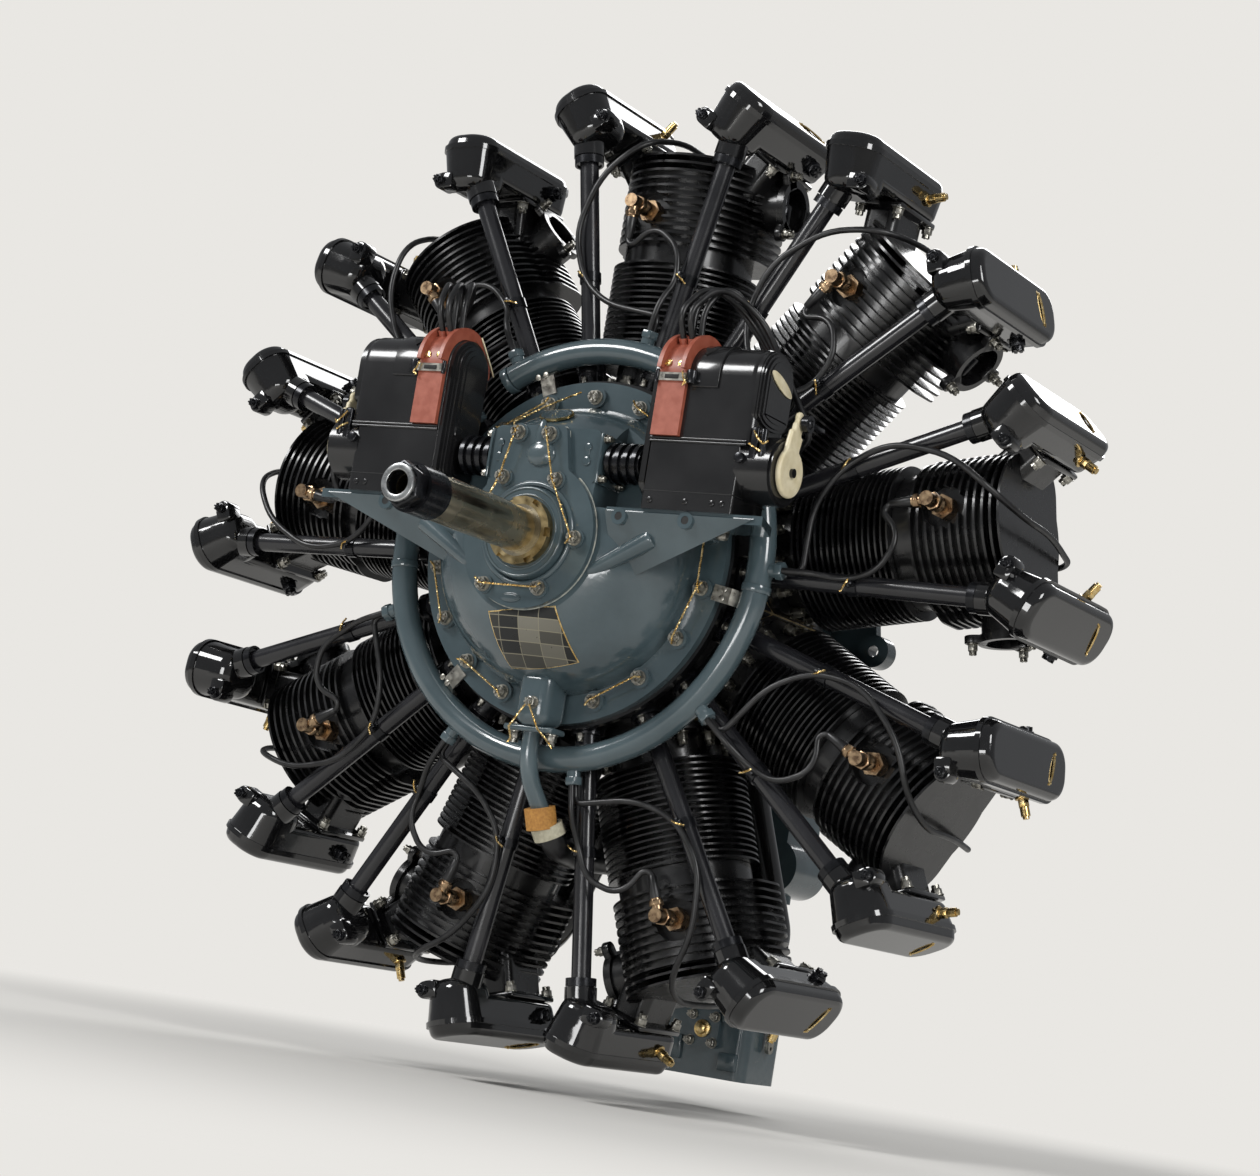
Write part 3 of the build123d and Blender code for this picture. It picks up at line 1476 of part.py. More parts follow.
# Throttle shaft with a disc in each throat and the lever on its right-hand end
with BuildPart() as throttle_lever:
    with Locations(Location((0, throttle_plane, throttle_height), (0, 90, 0))):
        Cylinder(throttle_shaft_radius, carburettor_width + 4 * throttle_lever_thickness)
    with BuildSketch(Plane.XY.offset(throttle_height)) as discs:
        with Locations((-throttle_spacing, throttle_plane), (throttle_spacing, throttle_plane)):
            Circle(throttle_bore_radius - throttle_gap)
    extrude(amount=throttle_disc_thickness / 2, both=True)
    with BuildSketch(Plane.YZ.offset(carburettor_width / 2 + throttle_lever_thickness)) as arm:
        with Locations((throttle_plane, throttle_height - throttle_lever_length / 2)):
            SlotCenterToCenter(throttle_lever_length, throttle_lever_width, rotation=90)
        with Locations((throttle_plane, throttle_height - throttle_lever_length)):
            Circle(throttle_eye_radius, mode=Mode.SUBTRACT)
    extrude(amount=throttle_lever_thickness)
save(throttle_lever.part, "throttle_lever")

# ------------------------------------------------------------------ leads, pipes and clips
def bend_radii(points):
    """Largest even bend at each inner point of a route: 0.45 of its shorter run over tan(half turn)."""
    radii = []
    for before, here, after in zip(points, points[1:], points[2:]):
        arriving = Vector(*here) - Vector(*before)
        leaving = Vector(*after) - Vector(*here)
        half_turn = radians(arriving.get_angle(leaving)) / 2
        radii.append(0.45 * min(arriving.length, leaving.length) / tan(half_turn))
    return radii


def round_cord(points, radius, inner_radius=0):
    """Cord, pipe or hose of one section along straight runs joined by tangent arcs."""
    with BuildPart() as cord:
        with BuildLine() as route:
            FilletPolyline(*points, radius=bend_radii(points))
        start = Vector(*points[1]) - Vector(*points[0])
        with BuildSketch(Plane(origin=points[0], z_dir=start)) as section:
            Circle(radius)
            if inner_radius:
                Circle(inner_radius, mode=Mode.SUBTRACT)
        sweep()
    return cord


# Bent cap on the tip of every spark plug, which turns the lead along the cylinder
with BuildPart() as plug_elbow:
    with BuildSketch(Plane.XY.offset(plug_length)) as cap:
        Circle(elbow_radius)
    extrude(amount=elbow_length)
    with Locations(Location((0, 0, plug_length + elbow_length / 2), (90, 0, 0))):
        Cylinder(elbow_radius - 2, elbow_reach, align=(Align.CENTER, Align.CENTER, Align.MIN))
with BuildPart() as plug_elbows:
    with Locations(*plug_places):
        add(plug_elbow.part)
save(plug_elbows.part, "plug_elbows")

elbow_y = plug_seat + plug_length + elbow_length / 2
front_lead_points = [
    ring_point(outlet_angle, outlet_reach, ring_plane - lead_spacing),
    ring_point(outlet_angle, outlet_reach + 36, ring_plane - lead_spacing),
    (62, -123.5, 322),
    (58, -124, 362),
    (20, -120, 390),
    (-plug_offset, -elbow_y, plug_height - elbow_reach - 38),
    (-plug_offset, -elbow_y, plug_height - elbow_reach),
]
rear_lead_points = [
    ring_point(outlet_angle, outlet_reach, ring_plane + lead_spacing),
    ring_point(outlet_angle, outlet_reach + 22, ring_plane + lead_spacing),
    (-20, -132, 292),
    (-62, -123.5, 322),
    (-84, -124, 380),
    (-62, -122, 450),
    (-20, -112, 492),
    (2, -60, 508),
    (4, 20, 506),
    (plug_offset, elbow_y, plug_height + elbow_reach + 50),
    (plug_offset, elbow_y, plug_height + elbow_reach),
]
front_lead = round_cord(front_lead_points, lead_radius)
rear_lead = round_cord(rear_lead_points, lead_radius)
with BuildPart() as ignition_leads_front:
    with Locations(*cylinder_places):
        add(front_lead.part)
save(ignition_leads_front.part, "ignition_leads_front")
with BuildPart() as ignition_leads_rear:
    with Locations(*cylinder_places):
        add(rear_lead.part)
save(ignition_leads_rear.part, "ignition_leads_rear")

# Clips that hold the leads to the push rod tubes
with BuildPart() as lead_clips:
    with Locations(*[place * Location((0, 0, clip_radius)) for place in pushrod_places]):
        Cylinder(pushrod_radius + clip_thickness, clip_length)
        Cylinder(pushrod_radius, clip_length, mode=Mode.SUBTRACT)
save(lead_clips.part, "lead_clips")

# Leads from the distributor block over the hood and down behind it to the ring
magneto_lead_routes = []
for lead, (column, row_angle) in enumerate(block_socket_places):
    socket_y = magneto_middle - (block_socket_reach * sin(radians(row_angle)))
    socket_z = hood_centre + block_socket_reach * cos(radians(row_angle))
    magneto_lead_routes.append(
        [
            (column, socket_y, socket_z),
            (column, socket_y - 30 * sin(radians(row_angle)), socket_z + 30 * cos(radians(row_angle))),
            (column + 8 + 2 * lead, socket_y + 18, socket_z + 66),
            (180 + 9 * lead, -168, 277 - 2 * lead),
            ring_point(lead_inlet_angles[lead], outlet_reach + 56, ring_plane - 20),
            ring_point(lead_inlet_angles[lead], outlet_reach + 24, ring_plane),
            ring_point(lead_inlet_angles[lead], outlet_reach, ring_plane),
        ]
    )
magneto_lead_cords = [round_cord(points, lead_radius) for points in magneto_lead_routes]
with BuildPart() as magneto_leads:
    for cord in magneto_lead_cords:
        add(cord.part)
    mirror(about=Plane.YZ)
save(magneto_leads.part, "magneto_leads")

# Oil return pipe from the foot of the nose, and its hose between the two lowest cylinders to the sump
oil_pipe_points = [(0, oil_boss_plane, -oil_boss_foot), (0, oil_boss_plane, -252), (16, -146, -300)]
oil_hose_points = [
    (16, -146, -300),
    (26.1, -129.5, -330.4),
    (4, -40, -336),
    (2, 60, -330),
    (oil_inlet_x, sump_front - 64, oil_inlet_z),
    (oil_inlet_x, sump_front - 12, oil_inlet_z),
]
oil_pipe = round_cord(oil_pipe_points, oil_pipe_radius, oil_pipe_radius - 1.5)
save(oil_pipe.part, "oil_pipe")
oil_hose = round_cord(oil_hose_points, oil_hose_radius, oil_hose_radius - 3)
save(oil_hose.part, "oil_hose")
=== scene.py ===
"""Looks of a nine-cylinder air-cooled radial aircraft engine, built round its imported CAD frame.

Frame: metres, +Z up through cylinder 1, the propeller end towards -Y. Sizes are counted from the plane of
the cylinders, and what repeats on them is modelled upright on cylinder 1 and turned about Y to the others.
"""

import logging
import math
from dataclasses import dataclass, field
from enum import Enum
from typing import Callable, Iterable, Sequence

import bpy
from mathutils import Matrix, Vector


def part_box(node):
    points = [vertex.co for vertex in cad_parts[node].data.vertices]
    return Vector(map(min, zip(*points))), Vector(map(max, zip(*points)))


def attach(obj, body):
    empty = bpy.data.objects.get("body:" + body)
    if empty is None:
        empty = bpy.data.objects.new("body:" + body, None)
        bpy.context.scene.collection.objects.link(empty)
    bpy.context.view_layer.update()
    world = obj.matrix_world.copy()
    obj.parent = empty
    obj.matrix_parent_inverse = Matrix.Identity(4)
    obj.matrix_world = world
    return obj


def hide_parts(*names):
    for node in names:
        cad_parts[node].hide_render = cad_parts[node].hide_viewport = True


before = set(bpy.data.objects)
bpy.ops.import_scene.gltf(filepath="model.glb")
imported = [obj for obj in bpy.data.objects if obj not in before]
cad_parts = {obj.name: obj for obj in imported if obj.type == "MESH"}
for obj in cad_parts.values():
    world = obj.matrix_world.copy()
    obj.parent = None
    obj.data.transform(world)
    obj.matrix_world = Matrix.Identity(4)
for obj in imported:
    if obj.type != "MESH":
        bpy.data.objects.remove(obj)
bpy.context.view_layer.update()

log = logging.getLogger("radial_engine")

MM = 0.001
CYLINDERS = 9
PITCH = 360 / CYLINDERS
CYLINDER_PLANE = sum(corner.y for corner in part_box("cylinder_barrel_1")) / 2
# Degrees between faces up to which an edge is shaded smooth.
SMOOTH_ANGLE = 35
# Where a finish's two colours stand on the scale of its patches.
PATCH_STOPS = (0.35, 0.75)
# Radians in one band of turned metal.
WAVE_TURN = 6.283
Point = tuple[float, float, float]
Piece = bpy.types.Object
UP, DOWN, RIGHT, REAR, FRONT = (0, 0, 1), (0, 0, -1), (1, 0, 0), (0, 1, 0), (0, -1, 0)
MIRROR = Matrix.Scale(-1, 4, RIGHT)


# ------------------------------------------------------------------ helpers
def linear(hex_colour: str) -> tuple[float, float, float, float]:
    """Turn an sRGB hex colour into linear RGBA.

    Args:
        hex_colour: six hex digits after a hash sign.

    Returns:
        The linear red, green, blue and an alpha of 1.
    """
    parts = [int(hex_colour[i : i + 2], 16) / 255 for i in (1, 3, 5)]
    shades = [c / 12.92 if c <= 0.04045 else ((c + 0.055) / 1.055) ** 2.4 for c in parts]
    return (*shades, 1.0)


def add_node(
    tree: bpy.types.NodeTree,
    kind: str,
    inputs: dict[str, object] | None = None,
    **settings: object,
) -> bpy.types.Node:
    """Add a shader node, set it up and link its inputs.

    Args:
        tree: the material's node tree.
        kind: the node's type name.
        inputs: socket name to a value, or to the output socket that feeds it.
        settings: attributes of the node itself.

    Returns:
        The new node.
    """
    node = tree.nodes.new(kind)
    for name, value in settings.items():
        setattr(node, name, value)
    for name, value in (inputs or {}).items():
        if isinstance(value, bpy.types.NodeSocket):
            tree.links.new(value, node.inputs[name])
        else:
            node.inputs[name].default_value = value
    return node


def turned(degrees: float, axis: str = "Y") -> Matrix:
    """Rotation matrix by an angle in degrees about an axis through the origin."""
    return Matrix.Rotation(math.radians(degrees), 4, axis)


def cylinder_turns() -> list[Matrix]:
    """Rotations that carry a piece on cylinder 1 to every cylinder."""
    return [turned(PITCH * k) for k in range(CYLINDERS)]


def aimed(point: Sequence[float], direction: Sequence[float], spin: float = 0.0) -> Matrix:
    """Matrix that stands a piece made on +Z at a point, facing a direction.

    Args:
        point: where the piece's origin goes, in millimetres.
        direction: where its +Z goes.
        spin: turn about its own axis, in degrees.

    Returns:
        The placing matrix, in metres.
    """
    turn = Vector(direction).to_track_quat("Z", "Y").to_matrix().to_4x4()
    return Matrix.Translation(Vector(point) * MM) @ turn @ turned(spin, "Z")


def at(x: float, y: float, z: float) -> Matrix:
    """Matrix that moves a piece by millimetres."""
    return Matrix.Translation(Vector((x, y, z)) * MM)


def both_sides() -> list[Matrix]:
    """A right-hand place as it is, and its mirror image on the left."""
    return [Matrix.Identity(4), MIRROR]


def on_cylinders(*spots: Matrix) -> list[Matrix]:
    """Places on cylinder 1 carried to every cylinder."""
    return [turn @ spot for turn in cylinder_turns() for spot in spots]


def on_circle(angle: float, radius: float, y: float) -> Point:
    """Point in millimetres at a clock angle from +Z, clockwise seen from the propeller end."""
    return (radius * math.sin(math.radians(angle)), y, radius * math.cos(math.radians(angle)))


def deselect() -> None:
    """Leave nothing selected and no edit mode open."""
    if bpy.context.object and bpy.context.object.mode != "OBJECT":
        bpy.ops.object.mode_set(mode="OBJECT")
    bpy.ops.object.select_all(action="DESELECT")


def activate(piece: Piece) -> None:
    """Select a piece alone and make it the active one.

    Args:
        piece: the object.
    """
    deselect()
    piece.select_set(True)
    bpy.context.view_layer.objects.active = piece


def settled(name: str) -> Piece:
    """Name the mesh object just added, and work its place and size into its mesh.

    Args:
        name: the object's name.

    Returns:
        The object.
    """
    piece = bpy.context.object
    piece.name = name
    bpy.ops.object.transform_apply(location=True, rotation=True, scale=True)
    return piece


def raised(
    piece: Piece, wanted: Callable[[bpy.types.MeshPolygon], bool], *steps: tuple[float, float]
) -> Piece:
    """Inset the faces that pass a test and lift them along their normals, step by step.

    Args:
        piece: the active mesh object.
        wanted: test of a face.
        steps: for each step its inset and its lift, in millimetres.

    Returns:
        The same piece, in object mode.
    """
    bpy.ops.object.mode_set(mode="EDIT")
    bpy.ops.mesh.select_mode(type="FACE")
    bpy.ops.mesh.select_all(action="DESELECT")
    bpy.ops.object.mode_set(mode="OBJECT")
    for polygon in piece.data.polygons:
        polygon.select = wanted(polygon)
    bpy.ops.object.mode_set(mode="EDIT")
    for inset, lift in steps:
        if inset:
            bpy.ops.mesh.inset(thickness=inset * MM)
        if lift:
            bpy.ops.mesh.extrude_region_shrink_fatten(TRANSFORM_OT_shrink_fatten={"value": lift * MM})
    bpy.ops.object.mode_set(mode="OBJECT")
    return piece


def use_modifier(piece: Piece, kind: str, **settings: object) -> None:
    """Add a modifier to a piece and apply it at once.

    Args:
        piece: the mesh object.
        kind: the modifier's type name.
        settings: its attributes.
    """
    activate(piece)
    modifier = piece.modifiers.new(kind.title(), kind)
    for name, value in settings.items():
        setattr(modifier, name, value)
    bpy.ops.object.modifier_apply(modifier=modifier.name)


def rounded(piece: Piece, width: float, segments: int = 2, **limits: float) -> Piece:
    """Bevel the sharp edges of a piece to a width in millimetres, and return it."""
    use_modifier(piece, "BEVEL", width=width * MM, segments=segments, limit_method="ANGLE", **limits)
    return piece


def placed(piece: Piece, place: Matrix) -> Piece:
    """Move a piece's mesh by a matrix, and return it."""
    piece.data.transform(place)
    return piece


def on_side(piece: Piece, side: int) -> Piece:
    """Mirror a piece modelled on the right where its side is -1, and return it."""
    if side < 0:
        placed(piece, MIRROR).data.flip_normals()
    return piece


def cut(piece: Piece, tool: Piece) -> None:
    """Cut the shape of a tool out of a piece; the tool is used up."""
    use_modifier(piece, "BOOLEAN", object=tool, operation="DIFFERENCE", solver="EXACT")
    bpy.data.objects.remove(tool)


def melted(piece: Piece, voxel: float, rounds: int) -> Piece:
    """Run the parts of a piece into one soft skin.

    Args:
        piece: the mesh object.
        voxel: fineness of the skin in millimetres.
        rounds: how many times it is smoothed.

    Returns:
        The same piece.
    """
    use_modifier(piece, "REMESH", mode="VOXEL", voxel_size=voxel * MM)
    use_modifier(piece, "SMOOTH", factor=0.5, iterations=rounds)
    return piece


def drum(name: str, radius: float, depth: float, sides: int = 24, bevel: float = 0.0) -> Piece:
    """Round or many-sided body standing on the origin along +Z.

    Args:
        name: the object's name.
        radius: corner radius in millimetres.
        depth: height in millimetres.
        sides: number of sides.
        bevel: width of the rounded end edges, in millimetres.

    Returns:
        The new object, active and in object mode.
    """
    deselect()
    bpy.ops.mesh.primitive_cylinder_add(
        vertices=sides, radius=radius * MM, depth=depth * MM, location=(0, 0, depth * MM / 2)
    )
    piece = settled(name)
    if bevel:
        rounded(piece, bevel, angle_limit=0.9)
    return piece


def block(name: str, size: Point, bevel: float = 0.0, segments: int = 2) -> Piece:
    """Rounded block centred on the origin, its size in millimetres.

    Args:
        name: the object's name.
        size: its three sides.
        bevel: width of its rounded edges.
        segments: facets across each rounded edge.

    Returns:
        The new object, active and in object mode.
    """
    deselect()
    bpy.ops.mesh.primitive_cube_add(size=1)
    bpy.context.object.scale = Vector(size) * MM
    piece = settled(name)
    if bevel:
        rounded(piece, bevel, segments)
    return piece


def joined(name: str, pieces: Iterable[Piece]) -> Piece:
    """Join mesh objects into one piece.

    Args:
        name: the name of the piece and its mesh.
        pieces: the objects to join; the first one stays.

    Returns:
        The whole piece.
    """
    parts = list(pieces)
    deselect()
    for part in parts:
        part.select_set(True)
    bpy.context.view_layer.objects.active = parts[0]
    if len(parts) > 1:
        bpy.ops.object.join()
    whole = bpy.context.object
    whole.name = name
    whole.data.name = name
    return whole


def repeated(name: str, pattern: Piece, places: Iterable[Matrix]) -> Piece:
    """Copy a pattern piece to every place and join the copies; the pattern itself is used up.

    Args:
        name: name of the joined piece.
        pattern: the piece modelled once.
        places: placing matrices in metres.

    Returns:
        One object that holds all the copies.
    """
    copies = []
    for place in places:
        copy = pattern.copy()
        copy.data = pattern.data.copy()
        copy.data.transform(place)
        if place.determinant() < 0:
            copy.data.flip_normals()
        bpy.context.collection.objects.link(copy)
        copies.append(copy)
    bpy.data.objects.remove(pattern)
    return joined(name, copies)


def wire(name: str, paths: Iterable[Sequence[Point]], radius: float, smooth: bool = True) -> Piece:
    """Round wires or cords along given points, as one mesh.

    Args:
        name: the piece's name.
        paths: for each strand its points in millimetres.
        radius: the strand's radius in millimetres.
        smooth: whether the points steer a smooth curve rather than straight runs.

    Returns:
        The mesh piece.
    """
    curve = bpy.data.curves.new(name, "CURVE")
    curve.dimensions = "3D"
    curve.bevel_depth = radius * MM
    curve.bevel_resolution = 2 if smooth else 1
    curve.resolution_u = 6
    curve.use_fill_caps = True
    for path in paths:
        spline = curve.splines.new("NURBS" if smooth else "POLY")
        spline.points.add(len(path) - 1)
        for point, place in zip(spline.points, path):
            point.co = (*(Vector(place) * MM), 1)
        if smooth:
            spline.order_u = 3
            spline.use_endpoint_u = True
    piece = bpy.data.objects.new(name, curve)
    bpy.context.collection.objects.link(piece)
    activate(piece)
    bpy.ops.object.convert(target="MESH")
    return bpy.context.object


def twisted(name: str, routes: Iterable[Sequence[Point]], strand: float = 0.7) -> Piece:
    """Two-strand twisted locking wire along straight runs.

    Args:
        name: the piece's name.
        routes: for each wire the points of its runs in millimetres.
        strand: radius of one strand in millimetres.

    Returns:
        The mesh piece.
    """
    sides, reach, pitch = 5, strand * 0.95, strand * 7
    paths = []
    for route in routes:
        corners = [Vector(point) for point in route]
        centres, tangents = [], []
        for start, end in zip(corners, corners[1:]):
            steps = max(2, round((end - start).length / (pitch / sides)))
            centres += [start.lerp(end, k / steps) for k in range(steps)]
            tangents += [(end - start).normalized()] * steps
        centres.append(corners[-1])
        tangents.append(tangents[-1])
        for phase in (0, math.pi):
            path = []
            for k, (centre, tangent) in enumerate(zip(centres, tangents)):
                side = tangent.orthogonal().normalized()
                angle = phase + 2 * math.pi * k / sides
                swing = side * math.cos(angle) + tangent.cross(side) * math.sin(angle)
                path.append(centre + swing * reach)
            paths.append(path)
    return wire(name, paths, strand, smooth=False)


def ring_piece(name: str, outer: float, inner: float, depth: float, sides: int = 32) -> Piece:
    """Washer-shaped body standing on the origin along +Z.

    Args:
        name: the object's name.
        outer: its outer radius in millimetres.
        inner: its inner radius in millimetres.
        depth: its height in millimetres.
        sides: number of sides.

    Returns:
        The new object, active and in object mode.
    """
    deselect()
    bpy.ops.mesh.primitive_cylinder_add(
        vertices=sides,
        radius=outer * MM,
        depth=depth * MM,
        end_fill_type="NOTHING",
        location=(0, 0, depth * MM / 2),
    )
    piece = settled(name)
    use_modifier(piece, "SOLIDIFY", thickness=(outer - inner) * MM, offset=-1.0, use_rim=True)
    return piece


# ------------------------------------------------------------------ finishes
@dataclass(frozen=True)
class Finish:
    """A surface: its name, sRGB colours, gloss and the size of its texture in millimetres."""

    name: str
    colour: str
    second_colour: str
    roughness: float
    roughness_spread: float = 0.05
    patch_mm: float = 40.0
    grain_mm: float = 1.2
    grain_height_mm: float = 0.02
    metallic: float = 0.0
    coat: float = 0.0
    coat_roughness: float = 0.08
    ior: float = 1.5

    def grain(self, tree: bpy.types.NodeTree, place: bpy.types.NodeSocket) -> bpy.types.NodeSocket:
        """Height pattern of the surface; plain noise unless a finish has its own.

        Args:
            tree: the material's node tree.
            place: object coordinates.

        Returns:
            A socket with the height from 0 to 1.
        """
        noise = add_node(
            tree, "ShaderNodeTexNoise", {"Vector": place, "Scale": 1000 / self.grain_mm, "Detail": 3.0}
        )
        return noise.outputs["Fac"]

    def material(self) -> bpy.types.Material:
        """Build the finish's node material once and return it."""
        known = bpy.data.materials.get(self.name)
        if known:
            return known
        material = bpy.data.materials.new(self.name)
        material.use_nodes = True
        tree = material.node_tree
        shader = tree.nodes["Principled BSDF"]
        place = add_node(tree, "ShaderNodeTexCoord").outputs["Object"]
        patches = add_node(
            tree, "ShaderNodeTexNoise", {"Vector": place, "Scale": 1000 / self.patch_mm, "Detail": 6.0}
        )
        ramp = add_node(tree, "ShaderNodeValToRGB", {"Fac": patches.outputs["Fac"]})
        colours = (self.colour, self.second_colour)
        for stop, position, colour in zip(ramp.color_ramp.elements, PATCH_STOPS, colours):
            stop.position = position
            stop.color = linear(colour)
        tree.links.new(ramp.outputs["Color"], shader.inputs["Base Color"])
        gloss = add_node(
            tree,
            "ShaderNodeMapRange",
            {
                "Value": patches.outputs["Fac"],
                "From Min": 0.3,
                "From Max": 0.7,
                "To Min": self.roughness - self.roughness_spread,
                "To Max": self.roughness + self.roughness_spread,
            },
        )
        tree.links.new(gloss.outputs["Result"], shader.inputs["Roughness"])
        bump = add_node(
            tree,
            "ShaderNodeBump",
            {"Height": self.grain(tree, place), "Distance": self.grain_height_mm * MM, "Strength": 1.0},
        )
        tree.links.new(bump.outputs["Normal"], shader.inputs["Normal"])
        shader.inputs["Metallic"].default_value = self.metallic
        shader.inputs["Coat Weight"].default_value = self.coat
        shader.inputs["Coat Roughness"].default_value = self.coat_roughness
        if not self.metallic:
            shader.inputs["IOR"].default_value = self.ior
        return material


@dataclass(frozen=True)
class TurnedMetal(Finish):
    """Metal turned or ground round the engine's long axis, with fine rings."""

    ring_mm: float = 1.5

    def grain(self, tree: bpy.types.NodeTree, place: bpy.types.NodeSocket) -> bpy.types.NodeSocket:
        """Fine rings across Y, broken up a little by noise."""
        rings = add_node(
            tree,
            "ShaderNodeTexWave",
            {"Vector": place, "Scale": 1000 / self.ring_mm / WAVE_TURN, "Distortion": 1.5, "Detail": 2.0},
            bands_direction="Y",
        )
        return rings.outputs["Fac"]


@dataclass(frozen=True)
class RuledPlate(Finish):
    """Dark plate etched with pale ruled cells and nothing written in them."""

    cell_mm: float = 13.0
    cell_colour: str = "#b9b5a4"
    line_colour: str = "#8f8a78"

    def material(self) -> bpy.types.Material:
        """Return the plate's material: the plain finish with the ruling laid over its colour."""
        known = bpy.data.materials.get(self.name)
        if known:
            return known
        material = super().material()
        tree = material.node_tree
        shader = next(node for node in tree.nodes if node.type == "BSDF_PRINCIPLED")
        place = add_node(tree, "ShaderNodeTexCoord").outputs["Object"]
        along = add_node(tree, "ShaderNodeSeparateXYZ", {"Vector": place})
        across = add_node(tree, "ShaderNodeCombineXYZ", {"X": along.outputs["X"], "Y": along.outputs["Z"]})
        ruling = add_node(
            tree,
            "ShaderNodeTexBrick",
            {
                "Vector": across.outputs[0],
                "Color1": linear(self.colour),
                "Color2": linear(self.cell_colour),
                "Bias": -0.5,
                "Mortar": linear(self.line_colour),
                "Scale": 1 / (self.cell_mm * 2 * MM),
                "Mortar Size": 0.018,
                "Brick Width": 1.0,
                "Row Height": 0.5,
            },
            offset=0.0,
        )
        tree.links.new(ruling.outputs["Color"], shader.inputs["Base Color"])
        return material


class Look(Enum):
    """Every finish on the engine."""

    # Stoved gloss enamel over iron and aluminium castings: deep black with soft orange peel.
    BLACK_ENAMEL = Finish("black_stoving_enamel", "#101011", "#1b1b1c", 0.2, 0.06, 55, 3.5, 0.035, coat=0.35)
    # The same enamel on turned fins, where dust dulls it.
    FIN_ENAMEL = Finish("black_enamel_on_fins", "#0d0d0e", "#1a1a1b", 0.28, 0.07, 30, 2.5, 0.04, coat=0.25)
    # Pressed rocker covers and boxes, rubbed down and sprayed twice: the glossiest black on the engine.
    COVER_ENAMEL = Finish(
        "gloss_enamel_on_covers", "#0c0c0d", "#151516", 0.1, 0.04, 70, 9, 0.05, coat=0.6, coat_roughness=0.04
    )
    # Drawn steel tube under one thin coat.
    TUBE_ENAMEL = Finish("black_enamel_on_tube", "#17171a", "#232326", 0.24, 0.06, 60, 4, 0.03, coat=0.3)
    # Magneto castings: satin black, sprayed smooth.
    MAGNETO_ENAMEL = Finish(
        "satin_enamel_on_magneto", "#141415", "#1e1e1f", 0.2, 0.05, 80, 5, 0.03, coat=0.35
    )
    # Slate grey machinery enamel brushed on a rough sand casting.
    GREY_ENAMEL = Finish("slate_grey_enamel", "#3b494e", "#4a585d", 0.17, 0.07, 60, 7, 0.2, coat=0.6)
    # The same grey on smooth drawn tube.
    RING_ENAMEL = Finish("slate_enamel_on_tube", "#414f54", "#4f5d62", 0.16, 0.05, 70, 6, 0.04, coat=0.6)
    # Ground and lightly tarnished shaft steel, straw coloured where oil has dried.
    SHAFT_STEEL = TurnedMetal(
        "ground_shaft_steel", "#a89e88", "#cdc3ab", 0.26, 0.08, 45, 1.5, 0.01, metallic=1.0
    )
    # Cadmium plated nuts and studs, dull silver.
    PLATED_STEEL = Finish(
        "cadmium_plated_steel", "#8d8b84", "#bdbab0", 0.34, 0.08, 6, 0.6, 0.015, metallic=1.0
    )
    # Blued steel, near black.
    BLUED_STEEL = Finish(
        "blued_steel", "#17181b", "#26272b", 0.25, 0.06, 12, 0.8, 0.01, metallic=0.6, coat=0.2
    )
    # Moulded brick-red phenolic, faintly mottled.
    RED_PHENOLIC = Finish("brick_red_phenolic", "#8f4835", "#a35945", 0.42, 0.06, 9, 1.0, 0.03, ior=1.6)
    # Aged ivory-coloured moulding of the spoon levers; its colours also paint highlights on the magneto
    # hoods.
    IVORY_MOULDING = Finish("ivory_moulding_and_painted_highlight", "#cfc3a0", "#e2d8bb", 0.36, 0.06, 12, 1.5, 0.03)
    # Synthetic rubber lead sheath, semi-gloss.
    BLACK_RUBBER = Finish("black_rubber_sheath", "#121213", "#232324", 0.36, 0.08, 15, 1.0, 0.03)
    # Twisted brass locking wire and brass fittings.
    BRASS = Finish("brass", "#c9a662", "#ecd9a8", 0.27, 0.08, 5, 0.8, 0.015, metallic=1.0)
    # Plug shells tinted straw to brown by heat.
    HEAT_TINTED_STEEL = Finish(
        "heat_tinted_steel", "#8a7058", "#c8ad8a", 0.3, 0.08, 7, 0.8, 0.02, metallic=1.0
    )
    # Bronze of the thrust nut, and of the pad edges where the black enamel has worn off.
    WORN_BRONZE = Finish("worn_bronze", "#8d7c58", "#b9a77f", 0.34, 0.08, 8, 1.0, 0.03, metallic=1.0)
    # Cork-coloured joint sleeve.
    CORK = Finish("cork_sleeve", "#9c6a2c", "#bf8d48", 0.7, 0.1, 3, 0.9, 0.12)
    # Pale woven hose clamp.
    PALE_FABRIC = Finish("pale_hose_tape", "#a9a48e", "#c6c1ab", 0.7, 0.08, 4, 0.8, 0.08)
    # Etched plate, ruled into cells with nothing written in them.
    RULED_PLATE = RuledPlate(
        "blank_ruled_plate", "#2b2c2c", "#3c3b37", 0.35, 0.08, 6, 1.0, 0.02, metallic=0.5
    )
    # Bare metal and old sealant along a joint where the paint has worn off.
    WORN_PAINT = Finish("worn_paint_edge", "#7d8482", "#b4b3a6", 0.45, 0.1, 5, 1.0, 0.03)
    # Machined steel face, cleaned often.
    BARE_STEEL = TurnedMetal("bare_steel_face", "#a9abab", "#c9cbca", 0.3, 0.06, 12, 0.9, 0.006, metallic=1.0)
    # Unlit depth of holes, slots and joints.
    DARK_DEPTH = Finish("unlit_depth", "#050505", "#0a0a0a", 0.6, 0.1, 8, 1.0, 0.01)


# The record's material slot that each finish usually takes, by slot.
SLOTS = {
    "nose_grey": (Look.GREY_ENAMEL, Look.RING_ENAMEL, Look.RULED_PLATE),
    "steel_bright": (Look.PLATED_STEEL, Look.WORN_PAINT),
    "steel_black": (Look.BLUED_STEEL, Look.BARE_STEEL),
    "steel_shaft": (Look.SHAFT_STEEL,),
    "plug_bronze": (Look.BRASS, Look.HEAT_TINTED_STEEL),
    "magneto_black": (Look.MAGNETO_ENAMEL, Look.DARK_DEPTH),
    "head_black": (Look.FIN_ENAMEL, Look.COVER_ENAMEL),
    "lever_cream": (Look.IVORY_MOULDING, Look.CORK, Look.PALE_FABRIC),
    "rubber_black": (Look.BLACK_RUBBER,),
    "case_black": (Look.WORN_BRONZE,),
}


